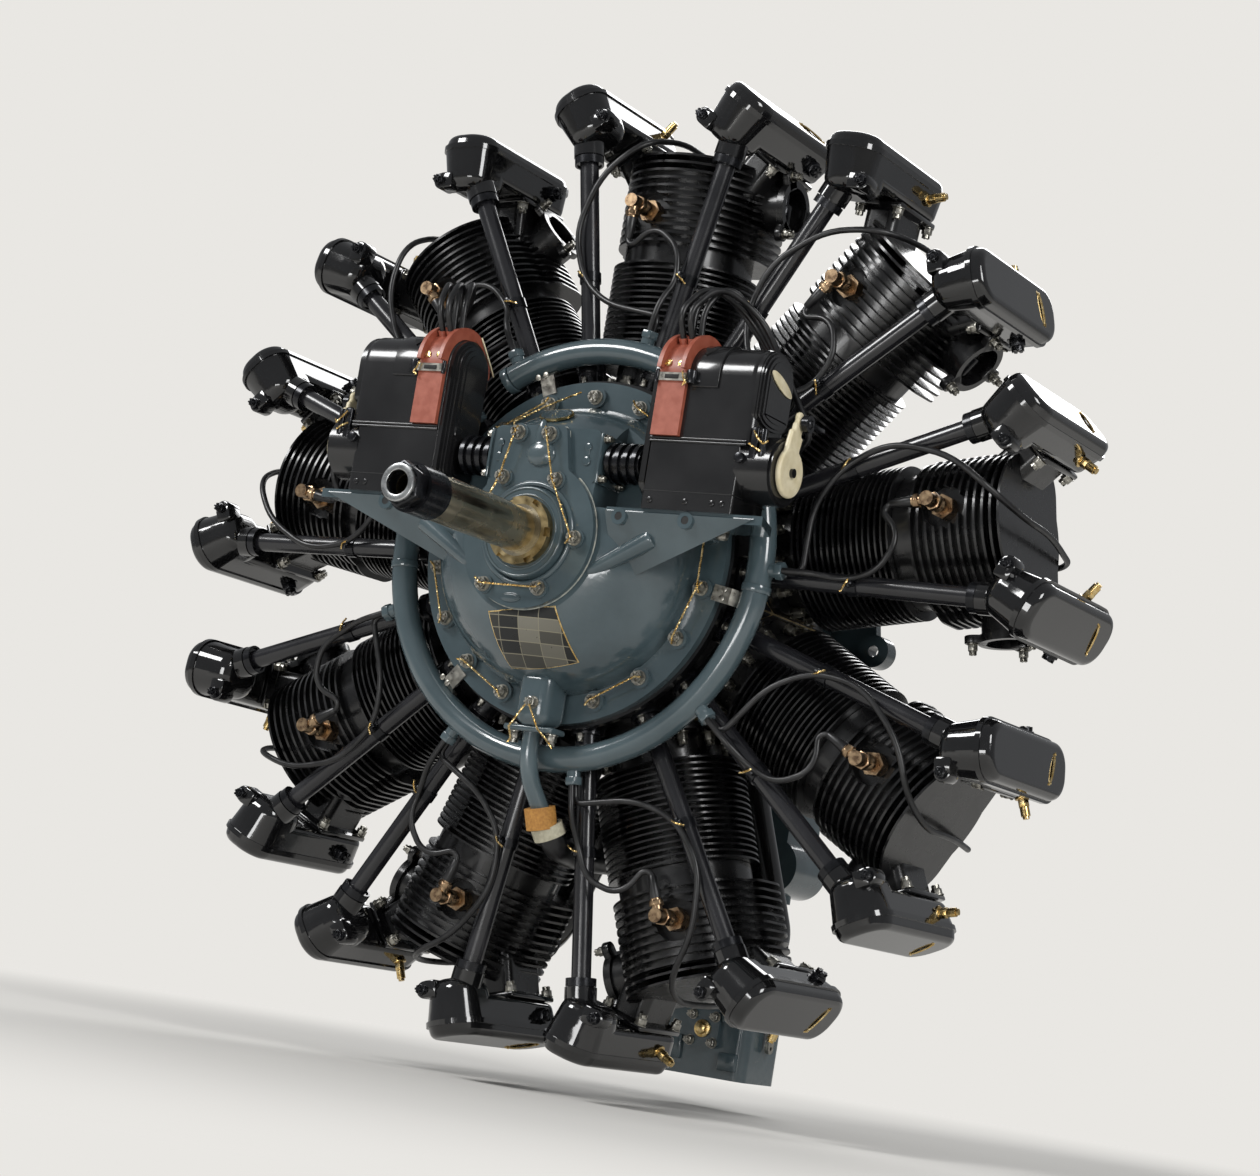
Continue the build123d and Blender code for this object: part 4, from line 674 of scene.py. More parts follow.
def dress(piece: Piece, look: Look, body: str = "engine", slot: str | None = None) -> None:
    """Set a new piece into the frame, give it its finish, smooth its shading and tie it to a CAD body.

    Args:
        piece: the mesh object.
        look: its finish.
        body: the CAD body that it moves with.
        slot: the record's material slot of the piece, where it is not the usual one; it is worked out but not
            used.
    """
    activate(piece)
    placed(piece, Matrix.Translation((0, CYLINDER_PLANE, 0)))
    bpy.ops.object.shade_smooth_by_angle(angle=math.radians(SMOOTH_ANGLE))
    piece.data.materials.clear()
    piece.data.materials.append(look.value.material())
    slot = slot or next(usual for usual, looks in SLOTS.items() if look in looks)
    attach(piece, body)
    log.info("%s: %d faces, %s", piece.name, len(piece.data.polygons), look.value.name)


def lay(name: str, pattern: Piece, places: Iterable[Matrix], look: Look, slot: str | None = None) -> None:
    """Repeat a pattern at places of the engine, as one dressed piece.

    Args:
        name: name of the piece.
        pattern: the piece modelled once; it is used up.
        places: placing matrices in metres.
        look: the finish.
        slot: the material slot, where it is not the usual one.
    """
    dress(repeated(name, pattern, places), look, slot=slot)


# ------------------------------------------------------------------ shared fasteners
def castle_nut(flats: float, height: float) -> Piece:
    """Slotted nut with its washer and stud end, standing on the origin along +Z.

    Args:
        flats: width across flats in millimetres.
        height: height of the hexagon.

    Returns:
        The pattern piece.
    """
    rise = flats * 0.1
    washer = drum("washer", flats * 0.66, rise, 16)
    body = placed(drum("hexagon", flats / math.sqrt(3), height, 6, bevel=flats * 0.05), at(0, 0, rise))
    deselect()
    bpy.ops.mesh.primitive_cylinder_add(
        vertices=12,
        radius=flats * 0.42 * MM,
        depth=height * 0.3 * MM,
        end_fill_type="TRIFAN",
        location=(0, 0, (height * 1.15 + rise) * MM),
    )
    crown = settled("crown")
    step = math.pi / 6
    raised(
        crown,
        lambda face: face.normal.z > 0.9 and int(math.atan2(face.center.y, face.center.x) // step) % 2 == 0,
        (0, height * 0.35),
    )
    stud = drum("stud", flats * 0.24, height * 1.75, 10, bevel=flats * 0.04)
    return joined("castle_nut", [washer, body, crown, stud])


def cap_bolt(flats: float, height: float) -> Piece:
    """Hexagon head on its washer with a shallow dished top, standing on the origin along +Z.

    Args:
        flats: width across flats in millimetres.
        height: height of the head.

    Returns:
        The pattern piece.
    """
    rise = flats * 0.12
    washer = drum("washer", flats * 0.64, rise, 18)
    head = drum("head", flats / math.sqrt(3), height, 6)
    dish = ((flats * 0.08, flats * 0.06), (flats * 0.14, -flats * 0.06))
    rounded(raised(head, lambda face: face.normal.z > 0.9, *dish), flats * 0.03, 1)
    return joined("cap_bolt", [washer, placed(head, at(0, 0, rise))])


def cheese_screw(radius: float, height: float) -> Piece:
    """Round screw head with a driver slot, standing on the origin along +Z.

    Args:
        radius: radius of the head in millimetres.
        height: its height.

    Returns:
        The pattern piece.
    """
    head = drum("screw", radius, height, 16, bevel=radius * 0.15)
    cut(head, placed(block("slot", (radius * 2.4, radius * 0.35, height)), at(0, 0, height)))
    return head


# ------------------------------------------------------------------ finishes of the frame's own pieces
@dataclass
class FrameDress:
    """Which pieces of the CAD frame each finish goes on, by the start of their names."""

    looks: dict[Look, tuple[str, ...]] = field(
        default_factory=lambda: {
            Look.FIN_ENAMEL: ("cylinder_barrel", "cylinder_head"),
            Look.BLACK_ENAMEL: ("crankcase", "cam_case", "intake_pipes"),
            Look.COVER_ENAMEL: ("rocker",),
            Look.TUBE_ENAMEL: ("pushrod_tubes",),
            Look.GREY_ENAMEL: (
                "nose_case",
                "nose_plate",
                "induction_case",
                "rear_cover",
                "intake_duct",
                "oil_sump",
                "carburettor_body",
            ),
            Look.RING_ENAMEL: ("ignition_ring", "oil_pipe"),
            Look.PLATED_STEEL: ("nose_nuts", "ring_brackets", "magneto_straps", "cam_ring", "throttle_lever"),
            Look.BLUED_STEEL: ("tappet_guides", "magneto_coupling", "lead_clips", "shaft_end_nut"),
            Look.SHAFT_STEEL: ("main_bearings", "crankshaft"),
            Look.WORN_BRONZE: ("thrust_nut",),
            Look.HEAT_TINTED_STEEL: ("spark_plugs", "plug_elbows"),
            Look.MAGNETO_ENAMEL: ("magneto_base", "magneto_hoods"),
            Look.RED_PHENOLIC: ("distributor_blocks",),
            Look.BLACK_RUBBER: ("ignition_leads", "magneto_leads", "oil_hose"),
            Look.IVORY_MOULDING: ("advance_lever",),
        }
    )

    def build(self) -> None:
        """Assign a finish to every node of the frame."""
        for name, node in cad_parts.items():
            look = next(look for look, starts in self.looks.items() if name.startswith(starts))
            for slot in node.material_slots:
                slot.material = look.value.material()
            if not node.material_slots:
                node.data.materials.append(look.value.material())
        log.info("frame: %d nodes dressed", len(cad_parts))


# ------------------------------------------------------------------ cylinders
@dataclass
class CylinderHardware:
    """Fasteners and port fittings of the nine cylinders, in the frame of cylinder 1 (millimetres)."""

    pad: float = 209.0
    base_circle: float = 69.5
    base_nuts: int = 12
    nut_flats: float = 12.0
    port: Point = (118.0, 25.0, 452.0)
    ear_reach: float = 40.0
    ear_angles: tuple[int, int, int] = (90, 210, 330)

    def base(self) -> None:
        """Castle nuts that hold every barrel down on the crankcase."""
        spots = []
        for k in range(self.base_nuts):
            x, _, y = on_circle((k + 0.5) * 360 / self.base_nuts, self.base_circle, 0)
            spots.append((x, y, self.pad))
        places = [turn @ aimed(spot, UP, 15) for turn in cylinder_turns() for spot in spots]
        lay("barrel_nuts", castle_nut(self.nut_flats, 8), places, Look.PLATED_STEEL)

    def port_flange(self) -> None:
        """Stud ears round every exhaust port."""
        ears = []
        for angle in self.ear_angles:
            x, _, y = on_circle(angle, self.ear_reach, 0)
            ears.append(placed(drum("ear", 9, 9, 20), at(x, y, 0)))
            turn = turned(-angle, "Z")
            ears.append(placed(block("neck", (18, 16, 9)), turn @ at(0, self.ear_reach - 8, 4.5)))
        ring = joined("ears", ears)
        rounded(ring, 1.0)
        x, y, z = self.port
        lay("port_ears", ring, on_cylinders(aimed((x - 9, y, z), RIGHT)), Look.FIN_ENAMEL)

    def port_nuts(self) -> None:
        """Studs and nuts on the ears of every exhaust port."""
        places = []
        for face in on_cylinders(aimed(self.port, RIGHT)):
            for angle in self.ear_angles:
                x, _, y = on_circle(angle, self.ear_reach, 0)
                places.append(face @ at(x, y, 0))
        lay("port_nuts", castle_nut(10, 7), places, Look.PLATED_STEEL)

    def port_valves(self) -> None:
        """Valve guide and stem seen inside every exhaust port."""
        pair = joined("valve", [drum("guide", 9, 26, 20, bevel=2), drum("stem", 4.5, 40, 12)])
        x, y, z = self.port
        lay("port_valve_guides", pair, on_cylinders(aimed((x - 16, y, z - 20), UP)), Look.BLUED_STEEL)

    def build(self) -> None:
        """Build every fitting."""
        for part in (self.base, self.port_flange, self.port_nuts, self.port_valves):
            part()


@dataclass
class RockerHardware:
    """Fittings of the eighteen rocker boxes, in the plane of a box rim (millimetres)."""

    rim_origin: Point = (112.2, 0.0, 533.9)
    across: Point = (0.815, 0.0, -0.579)
    outwards: Point = (0.579, 0.0, 0.815)
    half_width: float = 34.0
    shaft_y: float = 22.0
    shaft_depth: float = -14.0
    cover_top: float = 16.0

    def on_rims(self, name: str, pattern: Piece, spots: Sequence[Matrix], look: Look) -> None:
        """Put a pattern on every rocker box.

        Args:
            name: name of the piece.
            pattern: the piece modelled once.
            spots: places in the frame of a rim: X across, Y rearwards, Z out of the cover.
            look: the finish.
        """
        rim = at(*self.rim_origin) @ Matrix((self.across, (0, 1, 0), self.outwards)).transposed().to_4x4()
        rims = [turn @ side @ rim for turn in cylinder_turns() for side in both_sides()]
        lay(name, pattern, [rim @ spot for rim in rims for spot in spots], look)

    def shaft_ends(self) -> None:
        """Brass grease fitting on the inner end of every rocker shaft and a castle nut on the outer end."""
        collar = drum("collar", 8.5, 3, 20, bevel=0.6)
        hexagon = drum("hexagon", 6.2, 12, 6, bevel=0.5)
        barrel = raised(drum("barrel", 5.2, 22, 16), lambda face: face.normal.z > 0.9, (1.5, 3))
        greaser = joined("greaser", [collar, hexagon, barrel])
        spot = aimed((-self.half_width + 3, self.shaft_y, self.shaft_depth), (-1, 0, 0.25))
        self.on_rims("grease_fittings", greaser, [spot], Look.BRASS)
        spot = aimed((self.half_width - 4, self.shaft_y, self.shaft_depth), RIGHT)
        self.on_rims("rocker_shaft_nuts", castle_nut(17, 8), [spot], Look.BLUED_STEEL)

    def clamp_lugs(self) -> None:
        """Boss and bolt beside every push rod gland."""
        web = placed(block("web", (18, 20, 26), 3), at(8, 0, 13))
        lug = joined("lug", [drum("boss", 10, 24, 20, bevel=2), web])
        self.on_rims("gland_lugs", lug, [aimed((-27, -108, -40), FRONT)], Look.COVER_ENAMEL)
        self.on_rims("gland_bolts", castle_nut(11, 6), [aimed((-27, -132, -40), FRONT)], Look.BLUED_STEEL)

    def cover_lugs(self) -> None:
        """Pair of small lugs on every cover that the locking wire passes through."""
        spots = [aimed((x, 28, self.cover_top - 4.5), (0.35 * x / 20, 0, 1)) for x in (-21, 21)]
        self.on_rims("cover_lugs", block("lug", (9, 8, 5), 1.5), spots, Look.COVER_ENAMEL)

    def cover_wires(self) -> None:
        """Twisted locking wire across the rear of every cover, with a loop at each end."""
        top = self.cover_top
        run = [(-22, 22, -3), (-16, 24, 1), (0, 29, 1.5), (16, 33, 1), (23, 36, -4)]
        loop = [(23, 36, -4), (27, 41, -6), (24, 44, -4), (20, 38, -2), (16, 33, 1)]
        tail = [(-22, 22, -3), (-26, 17, -6), (-22, 15, -4), (-17, 20, 0), (-16, 24, 1)]
        paths = [[(x, y, top + z) for x, y, z in path] for path in (run, loop, tail)]
        self.on_rims("cover_wires", wire("locking", paths, 1.3), [Matrix.Identity(4)], Look.BRASS)

    def tower_flanges(self) -> None:
        """Bolting flange where every rocker box stands on its head, with nuts under its corners."""
        plate = raised(block("flange", (60, 92, 6), 2), lambda face: face.normal.z < -0.9, (7, 2))
        self.on_rims("tower_flanges", plate, [at(0, 12.5, -36)], Look.COVER_ENAMEL)
        corners = [aimed((x, y, -39), DOWN) for x in (-24, 24) for y in (-27, 52)]
        self.on_rims("tower_nuts", castle_nut(11, 7), corners, Look.PLATED_STEEL)

    def build(self) -> None:
        """Build every fitting."""
        for part in (self.shaft_ends, self.clamp_lugs, self.cover_lugs, self.cover_wires, self.tower_flanges):
            part()


# ------------------------------------------------------------------ nose
@dataclass
class NoseDetails:
    """Bosses, plates, locking wire and trim of the nose case (millimetres)."""

    tower_front: float = -238.0
    plate_front: float = -246.0
    nut_front: float = -258.0
    flange_nut_front: float = -164.0
    flange_circle: float = 177.0
    plate_radius: float = 83.0
    drive: tuple[float, float] = (-215.0, 90.0)
    shelf_front: float = -248.0
    shelf_foot: float = 26.0
    shelf_holes: tuple[int, ...] = (-196, -113, 113, 196)
    plate_run: Point = (84.0, -2.0, 11.5)
    plate_fall: Point = (18.0, 36.0, -54.0)
    plate_middle: Point = (11.5, -219.0, -110.0)
    badge_middle: Point = (-15.3, -203.5, 142.5)
    badge_facing: Point = (-0.084, -0.631, 0.771)

    def side_covers(self) -> None:
        """Flanged covers on the sides of the drive tower, open round the coupling shafts, with their nuts."""
        y, z = self.drive
        cover = block("cover", (3.4, 52, 56), 1.2)
        cut(cover, placed(placed(drum("hole", 12, 20, 32), turned(90)), at(-10, 0, 0)))
        lay("drive_covers", cover, [at(side * 71.7, y, z) for side in (-1, 1)], Look.GREY_ENAMEL)
        places = [
            aimed((side * 73.4, y + dy, z + dz), (side, 0, 0), 20)
            for side in (-1, 1)
            for dy in (-19.5, 19.5)
            for dz in (-22.5, 22.5)
        ]
        lay("drive_cover_nuts", castle_nut(8, 4), places, Look.PLATED_STEEL)

    def casting_marks(self) -> None:
        """Hourglass-shaped raised pads on the front of the drive tower."""
        pads = [
            placed(drum("pad", radius, 1.6, 20, bevel=0.6), aimed((0, self.tower_front, z), FRONT))
            for z, radius in ((102, 4.4), (86, 5.2))
        ]
        neck = placed(block("neck", (4.6, 2.6, 16), 0.8), at(0, self.tower_front, 94))
        lay("tower_marks", joined("marks", [*pads, neck]), [at(x, 0, 0) for x in (-60, 55)], Look.GREY_ENAMEL)

    def tower_swell(self) -> None:
        """Smooth swelling between the two upper nuts, where the casting clears the drive gear."""
        parts = []
        for x, z, half in ((0, 90, (19, 7.5, 15)), (-3.5, 108, (7, 5, 22))):
            deselect()
            bpy.ops.mesh.primitive_uv_sphere_add(segments=32, ring_count=16, radius=1)
            bpy.context.object.scale = Vector(half) * MM
            parts.append(placed(settled("lump"), at(x, self.plate_front, z)))
        dress(melted(joined("tower_swell", parts), 1.0, 12), Look.GREY_ENAMEL)

    def hub_rings(self) -> None:
        """Rolled edges round the thrust boss."""
        rings = []
        for y, radius, thickness in ((-247, 56, 3.2), (-255.5, 49, 1.6), (-256, 41.5, 1.4)):
            deselect()
            bpy.ops.mesh.primitive_torus_add(
                major_segments=96,
                minor_segments=12,
                major_radius=radius * MM,
                minor_radius=thickness * MM,
                rotation=(math.pi / 2, 0, 0),
                location=(0, y * MM, 0),
            )
            rings.append(settled("ring"))
        dress(joined("hub_rings", rings), Look.GREY_ENAMEL)

    def worn_edges(self) -> None:
        """Pale line where the paint has worn off the joint of the front plate."""
        y = self.tower_front - 1.2
        start, end, steps = 38.0, 322.0, 60
        rim = [
            on_circle(start + (end - start) * k / steps, self.plate_radius + 0.5, y) for k in range(steps + 1)
        ]
        tab = [(-53, y, 66), (-44.5, y, 118), (-40, y, 122.4), (24, y, 122.4), (28.5, y, 118), (37, y, 66)]
        dress(wire("plate_joint", [[tab[-1], *rim, *tab]], 0.9, smooth=False), Look.WORN_PAINT)

    def data_plate(self) -> None:
        """Thin plate with nothing written on it, bent to the bell, and the edge round it."""
        along, down = Vector(self.plate_run) * MM, Vector(self.plate_fall) * MM
        out = along.cross(-down).normalized() * MM
        flat = at(*self.plate_middle) @ Matrix((along, -down, out)).transposed().to_4x4()
        shift = Matrix.Translation((0, CYLINDER_PLANE, 0))
        for name, grow, lift, look in (
            ("plate_edge", 1.04, 0.5, Look.BRASS),
            ("data_plate", 1.0, 1.2, Look.RULED_PLATE),
        ):
            deselect()
            bpy.ops.mesh.primitive_grid_add(x_subdivisions=24, y_subdivisions=18, size=grow)
            sheet = placed(placed(bpy.context.object, flat), shift)
            sheet.name = name
            use_modifier(
                sheet,
                "SHRINKWRAP",
                target=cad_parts["nose_case"],
                wrap_method="NEAREST_SURFACEPOINT",
                wrap_mode="ABOVE_SURFACE",
                offset=lift * MM,
            )
            use_modifier(sheet, "SOLIDIFY", thickness=1.0 * MM, offset=-1.0)
            dress(placed(sheet, shift.inverted()), look, slot="nose_grey")

    def badge(self) -> None:
        """Blank oval badge in a brass edge on top of the bell."""
        place = aimed(self.badge_middle, self.badge_facing)
        for name, height, radii, look in (
            ("badge_edge", 2.2, (23, 13.5), Look.BRASS),
            ("badge_face", 2.8, (21, 11.5), Look.GREY_ENAMEL),
        ):
            oval = placed(drum(name, 1, height, 48), Matrix.Diagonal((*radii, 1, 1)))
            dress(placed(oval, place), look)

    def cartouche(self) -> None:
        """Blank raised oval between the two lowest nuts of the front plate."""
        pads = []
        for radii, height in (((13, 5.2), 1.2), ((10.6, 3.4), 1.8)):
            pad = placed(drum("pad", 1, height, 40), Matrix.Diagonal((*radii, 1, 1)))
            rounded(pad, 0.5)
            pads.append(placed(pad, aimed((-9, self.plate_front, -72), FRONT)))
        dress(joined("cartouche", pads), Look.GREY_ENAMEL)

    def plate_wires(self) -> None:
        """Locking wire between the nuts of the front plate and over the top of the bell."""
        y = self.nut_front
        routes = [
            [(-28, y, 118), (-31, y, 112), (-42, y, 61), (-52, y + 3, 42), (-58, y + 8, 30)],
            [(-31, y, 112), (-38, y + 6, 123), (-30, -205, 153), (-21, -166, 176), (-14, -164, 180)],
            [(8, y, 119), (10, y, 112), (27, y, 61), (63, y, -2), (57, y, -10)],
            [(-52, y, -54), (-45, y, -60), (27, y, -60), (34, y, -55)],
        ]
        dress(twisted("plate_wires", routes), Look.BRASS)

    def flange_wires(self) -> None:
        """Locking wire from nut to nut round the flange, by the clock angles of the nuts."""
        y, near, far = self.flange_nut_front, self.flange_circle, self.flange_circle + 5
        spans = ((80, 100), (100, 120), (140, 160), (200, 220), (240, 260), (280, 300), (320, 340), (20, 40))
        routes = [
            [on_circle(a - 2, far, y), on_circle(a, near, y), on_circle(b, near, y), on_circle(b + 2, far, y)]
            for a, b in spans
        ]
        dress(twisted("flange_wires", routes), Look.BRASS)

    def oil_foot(self) -> None:
        """Boss at the foot of the bell that the oil pipe leaves from, its flange, bolts and wire."""
        boss = placed(block("boss", (42, 48, 62), 13, 6), at(6, -172, -173))
        flange = placed(block("flange", (64, 30, 7), 2.5, 3), at(2, -172, -207))
        dress(joined("oil_foot", [boss, flange]), Look.GREY_ENAMEL)
        places = [aimed((10, -196, -179), FRONT)]
        places += [aimed((x, -172, -210.5), DOWN) for x in (-22, 26)]
        lay("oil_foot_bolts", castle_nut(11, 7), places, Look.PLATED_STEEL)
        top = (10, -207, -179)
        routes = [
            [top, (-16, -197, -208), (-22, -180, -219), (-27, -178, -224)],
            [top, (22, -197, -208), (27, -180, -219), (34, -180, -226)],
        ]
        dress(twisted("oil_foot_wires", routes), Look.BRASS)

    def shelf_bosses(self) -> None:
        """Rim and dark depth of every hole through the shelf bosses."""
        for name, pattern, lift, look, slot in (
            ("shelf_bushes", ring_piece("bush", 9.2, 4.6, 1.6), 0.8, Look.GREY_ENAMEL, "nose_grey"),
            ("shelf_holes", drum("hole", 4.8, 1.0, 24), 0.6, Look.DARK_DEPTH, "steel_black"),
        ):
            places = [aimed((x, self.shelf_front + lift, self.shelf_foot), FRONT) for x in self.shelf_holes]
            lay(name, pattern, places, look, slot)

    def shelf_bolts(self) -> None:
        """Holding-down bolts of the magnetos under the shelf, and locking wire round the front ones."""
        z = self.shelf_foot
        places = [
            aimed((side * x, y, z), DOWN) for side in (-1, 1) for x in (160, 214) for y in (-232, -196)
        ]
        lay("shelf_bolts", cap_bolt(13, 7), places, Look.PLATED_STEEL)
        run = ((-12, -238, -3), (-6, -241, -5), (4, -241, -7), (14, -239, -4), (20, -236, -2))
        routes = [
            [(side * (x + dx), y, z + dz) for dx, y, dz in run] for side in (-1, 1) for x in (160, 214)
        ]
        dress(twisted("shelf_wires", routes), Look.BRASS)

    def bell_ribs(self) -> None:
        """Rounded ribs that rise from the bell to the front of the shelves."""
        start, end = Vector((76, -232, -36)), Vector((150, -229, 8))
        deselect()
        bpy.ops.mesh.primitive_cone_add(
            vertices=32,
            radius1=8 * MM,
            radius2=12 * MM,
            depth=(end - start).length * MM,
            end_fill_type="TRIFAN",
        )
        rib = placed(bpy.context.object, aimed((start + end) / 2, end - start))
        lay("bell_ribs", melted(rib, 1.6, 16), both_sides(), Look.GREY_ENAMEL)

    def build(self) -> None:
        """Build every piece of the nose."""
        for part in (
            self.side_covers,
            self.casting_marks,
            self.tower_swell,
            self.hub_rings,
            self.worn_edges,
            self.data_plate,
            self.badge,
            self.cartouche,
            self.plate_wires,
            self.flange_wires,
            self.oil_foot,
            self.shelf_bosses,
            self.shelf_bolts,
            self.bell_ribs,
        ):
            part()


# ------------------------------------------------------------------ propeller shaft end
@dataclass
class ShaftEnd:
    """End nut of the propeller shaft, in place of its plain CAD form (millimetres)."""

    rear: float = -440.0
    shoulder: float = -478.0
    hexagon_end: float = -496.0
    front: float = -502.0
    radius: float = 27.0
    bore: float = 13.2

    def nut(self) -> None:
        """Round sleeve with a rolled shoulder and the hexagon in front of it."""
        sleeve = drum("sleeve", self.radius, self.rear - self.shoulder, 64)
        raised(sleeve, lambda face: face.normal.z > 0.9, (1.2, 1.6), (2.0, 0.01), (0, -2.2))
        placed(sleeve, aimed((0, self.rear, 0), FRONT))
        hexagon = drum("hexagon", 25.2, self.shoulder - self.hexagon_end, 6, bevel=1.0)
        raised(hexagon, lambda face: face.normal.z > 0.9 and face.area > 1e-4, (2.4, 2.4))
        placed(hexagon, aimed((0, self.shoulder, 0), FRONT))
        whole = joined("end_nut", [sleeve, hexagon])
        cut(whole, placed(drum("core", self.bore, 90, 48), aimed((0, self.rear + 10, 0), FRONT)))
        dress(whole, Look.BLUED_STEEL, "crank")
        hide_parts("shaft_end_nut")

    def face(self) -> None:
        """Bare machined ring in the front of the nut."""
        ring = ring_piece("end_nut_face", 20.2, self.bore, self.hexagon_end - self.front, 64)
        placed(ring, aimed((0, self.hexagon_end, 0), FRONT))
        rounded(ring, 0.8)
        dress(ring, Look.BARE_STEEL, "crank")
        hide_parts("shaft_end_nut")

    def key(self) -> None:
        """Key lying in the shaft's keyway, with its screw."""
        bar = placed(block("shaft_key", (7.6, 118, 5), 0.6), at(0, -350, 23.2))
        screw = placed(cheese_screw(2.6, 1.2), aimed((0, -330, 25.6), UP))
        dress(joined("shaft_key", [bar, screw]), Look.SHAFT_STEEL, "crank")

    def build(self) -> None:
        """Build the nut, its bare face and the key."""
        for part in (self.nut, self.face, self.key):
            part()


# ------------------------------------------------------------------ magnetos
@dataclass
class MagnetoDetails:
    """Covers, beads, latches and levers of both magnetos; the right one is modelled (millimetres)."""

    inner: float = 138.5
    outer: float = 262.5
    middle: float = -215.0
    front: float = -251.0
    arch_centre: float = 186.0
    arch_radius: float = 36.0
    seam: float = 112.0
    plinth: float = 56.0
    drive_height: float = 90.0
    block_face: float = 42.0
    lever_face: float = 290.4

    def arch(
        self,
        name: str,
        run: tuple[float, float],
        radius: float,
        foot: float,
        squash: float = 0.1,
        steps: Sequence[tuple[float, float]] = (),
    ) -> Piece:
        """Solid with an arched top, lying along X over the magneto.

        Args:
            name: the object's name.
            run: where it begins on X and its length, which is negative where it goes inwards.
            radius: radius of the arch.
            foot: height of its foot.
            squash: how round the foot is, from 0 for flat to 1 for a half circle.
            steps: insets and lifts that dome its end.

        Returns:
            The new object.
        """
        start, length = run
        deselect()
        bpy.ops.mesh.primitive_circle_add(vertices=64, radius=radius * MM, fill_type="NGON")
        body = bpy.context.object
        body.name = name
        bpy.ops.object.mode_set(mode="EDIT")
        bpy.ops.mesh.select_mode(type="VERT")
        bpy.ops.mesh.select_all(action="DESELECT")
        bpy.ops.object.mode_set(mode="OBJECT")
        for corner in body.data.vertices:
            corner.select = corner.co.y < -0.01 * MM
        bpy.ops.object.mode_set(mode="EDIT")
        bpy.ops.transform.resize(value=(1, squash, 1), center_override=(0, 0, 0))
        drop = foot - self.arch_centre + squash * radius
        bpy.ops.transform.translate(value=(0, drop * MM, 0))
        bpy.ops.object.mode_set(mode="OBJECT")
        hand = math.copysign(1, length)
        stand = Matrix(((0, 0, hand), (hand, 0, 0), (0, 1, 0))).to_4x4()
        placed(body, at(start, self.middle, self.arch_centre) @ stand)
        return raised(body, lambda face: True, (0, abs(length)), *steps)

    def on_both(self, name: str, pattern: Piece, look: Look, slot: str | None = None) -> None:
        """Use a pattern of the right-hand magneto as it is, and mirrored on the left."""
        lay(name, pattern, both_sides(), look, slot)

    def end_covers(self) -> None:
        """Deep domed cover over the inner end of the magneto, open round the coupling shaft."""
        steps = ((2.5, 0.6), (1.2, 2.6), (2.6, 2.8), (4.2, 2.2), (6.0, 1.2))
        cover = self.arch("cover", (self.inner, -4.5), 35, 45, 0.7, steps)
        way = aimed((self.inner - 20, self.middle, self.drive_height), RIGHT)
        cut(cover, placed(drum("way", 10.2, 40, 32), way))
        self.on_both("magneto_end_covers", cover, Look.MAGNETO_ENAMEL)

    def outer_domes(self) -> None:
        """Rounded outer end of the hood above the drum."""
        steps = ((0.8, 2.4), (2.0, 2.4), (3.4, 1.6), (5.0, 0.8))
        dome = self.arch("dome", (self.outer - 11, 9), self.arch_radius - 1, 131, 0.45, steps)
        self.on_both("magneto_outer_domes", dome, Look.MAGNETO_ENAMEL)

    def saddles(self) -> None:
        """Raised saddle over the hood beside the distributor block, with a three-cornered vent."""
        saddle = self.arch("saddle", (181, 32), self.arch_radius + 2.6, 168)
        rounded(saddle, 2.4, 4, angle_limit=0.7)
        self.on_both("magneto_saddles", saddle, Look.MAGNETO_ENAMEL)
        place = aimed((191, self.middle - 27.2, self.arch_centre + 27.2), (0, -1, 1), 55)
        self.on_both("magneto_vents", placed(drum("vent", 8.5, 1.0, 3), place), Look.DARK_DEPTH)

    def beads(self) -> None:
        """Rolled double bead along the foot of the hood, front and rear."""
        rails = [
            placed(drum("rail", 1.5, self.outer - 6 - self.inner, 12), aimed((self.inner + 1, y, z), RIGHT))
            for y in (self.front - 0.4, 2 * self.middle - self.front + 0.4)
            for z in (self.seam + 2.4, self.seam - 1.2)
        ]
        self.on_both("magneto_beads", joined("beads", rails), Look.MAGNETO_ENAMEL)

    def plinths(self) -> None:
        """Dark joint between the housing and its base plate, and small screws along the plate."""
        line = placed(block("line", (112.6, 72.6, 0.9)), at(194.5, self.middle, self.plinth))
        self.on_both("plinth_lines", line, Look.DARK_DEPTH)
        spots = [aimed((x, self.front, 45.5), FRONT, 30) for x in (150, 194, 227, 239)]
        places = [side @ spot for side in both_sides() for spot in spots]
        lay("plinth_screws", cheese_screw(3.2, 1.4), places, Look.MAGNETO_ENAMEL)

    def inner_ports(self) -> None:
        """Small square inspection port in the end cover."""
        port = raised(block("port", (2, 13, 11), 1), lambda face: face.normal.x < -0.9, (2.0, -1.2))
        self.on_both("inner_ports", placed(port, at(125.6, -230, 113)), Look.MAGNETO_ENAMEL)

    def block_screws(self) -> None:
        """Brass screws in the face of the red block."""
        turn = Vector((0, -0.975, 0.222))
        spot = Vector((0, self.middle, self.arch_centre)) + turn * self.block_face
        places = [side @ aimed((x, spot.y, spot.z), turn, 40) for side in both_sides() for x in (150, 166)]
        lay("block_screws", cheese_screw(4.2, 1.6), places, Look.BRASS)

    def straps(self) -> None:
        """Slot in the strap round the block, the knurled latch and pin at its ends, and their wire."""
        slot = placed(block("slot", (17, 1.0, 4.6), 0.4), at(158, self.middle - 44.4, 180))
        self.on_both("strap_slots", slot, Look.DARK_DEPTH, "steel_bright")
        knob = placed(drum("knob", 6.2, 15, 20, bevel=1.0), aimed((181, self.middle - 41, 173), UP))
        pin = placed(drum("pin", 2.4, 15, 14, bevel=0.6), aimed((139.5, self.middle - 44.5, 172.5), UP))
        lug = placed(block("lug", (14, 6, 9), 1.2), at(184, self.middle - 36, 180))
        self.on_both("strap_latches", joined("latch", [knob, pin, lug]), Look.BLUED_STEEL)
        y = self.middle - 46.5
        route = [(172, y, 186), (174, y - 1, 179), (178, y - 1, 173), (174, y, 170)]
        self.on_both("latch_wires", twisted("lock", [route]), Look.BRASS)

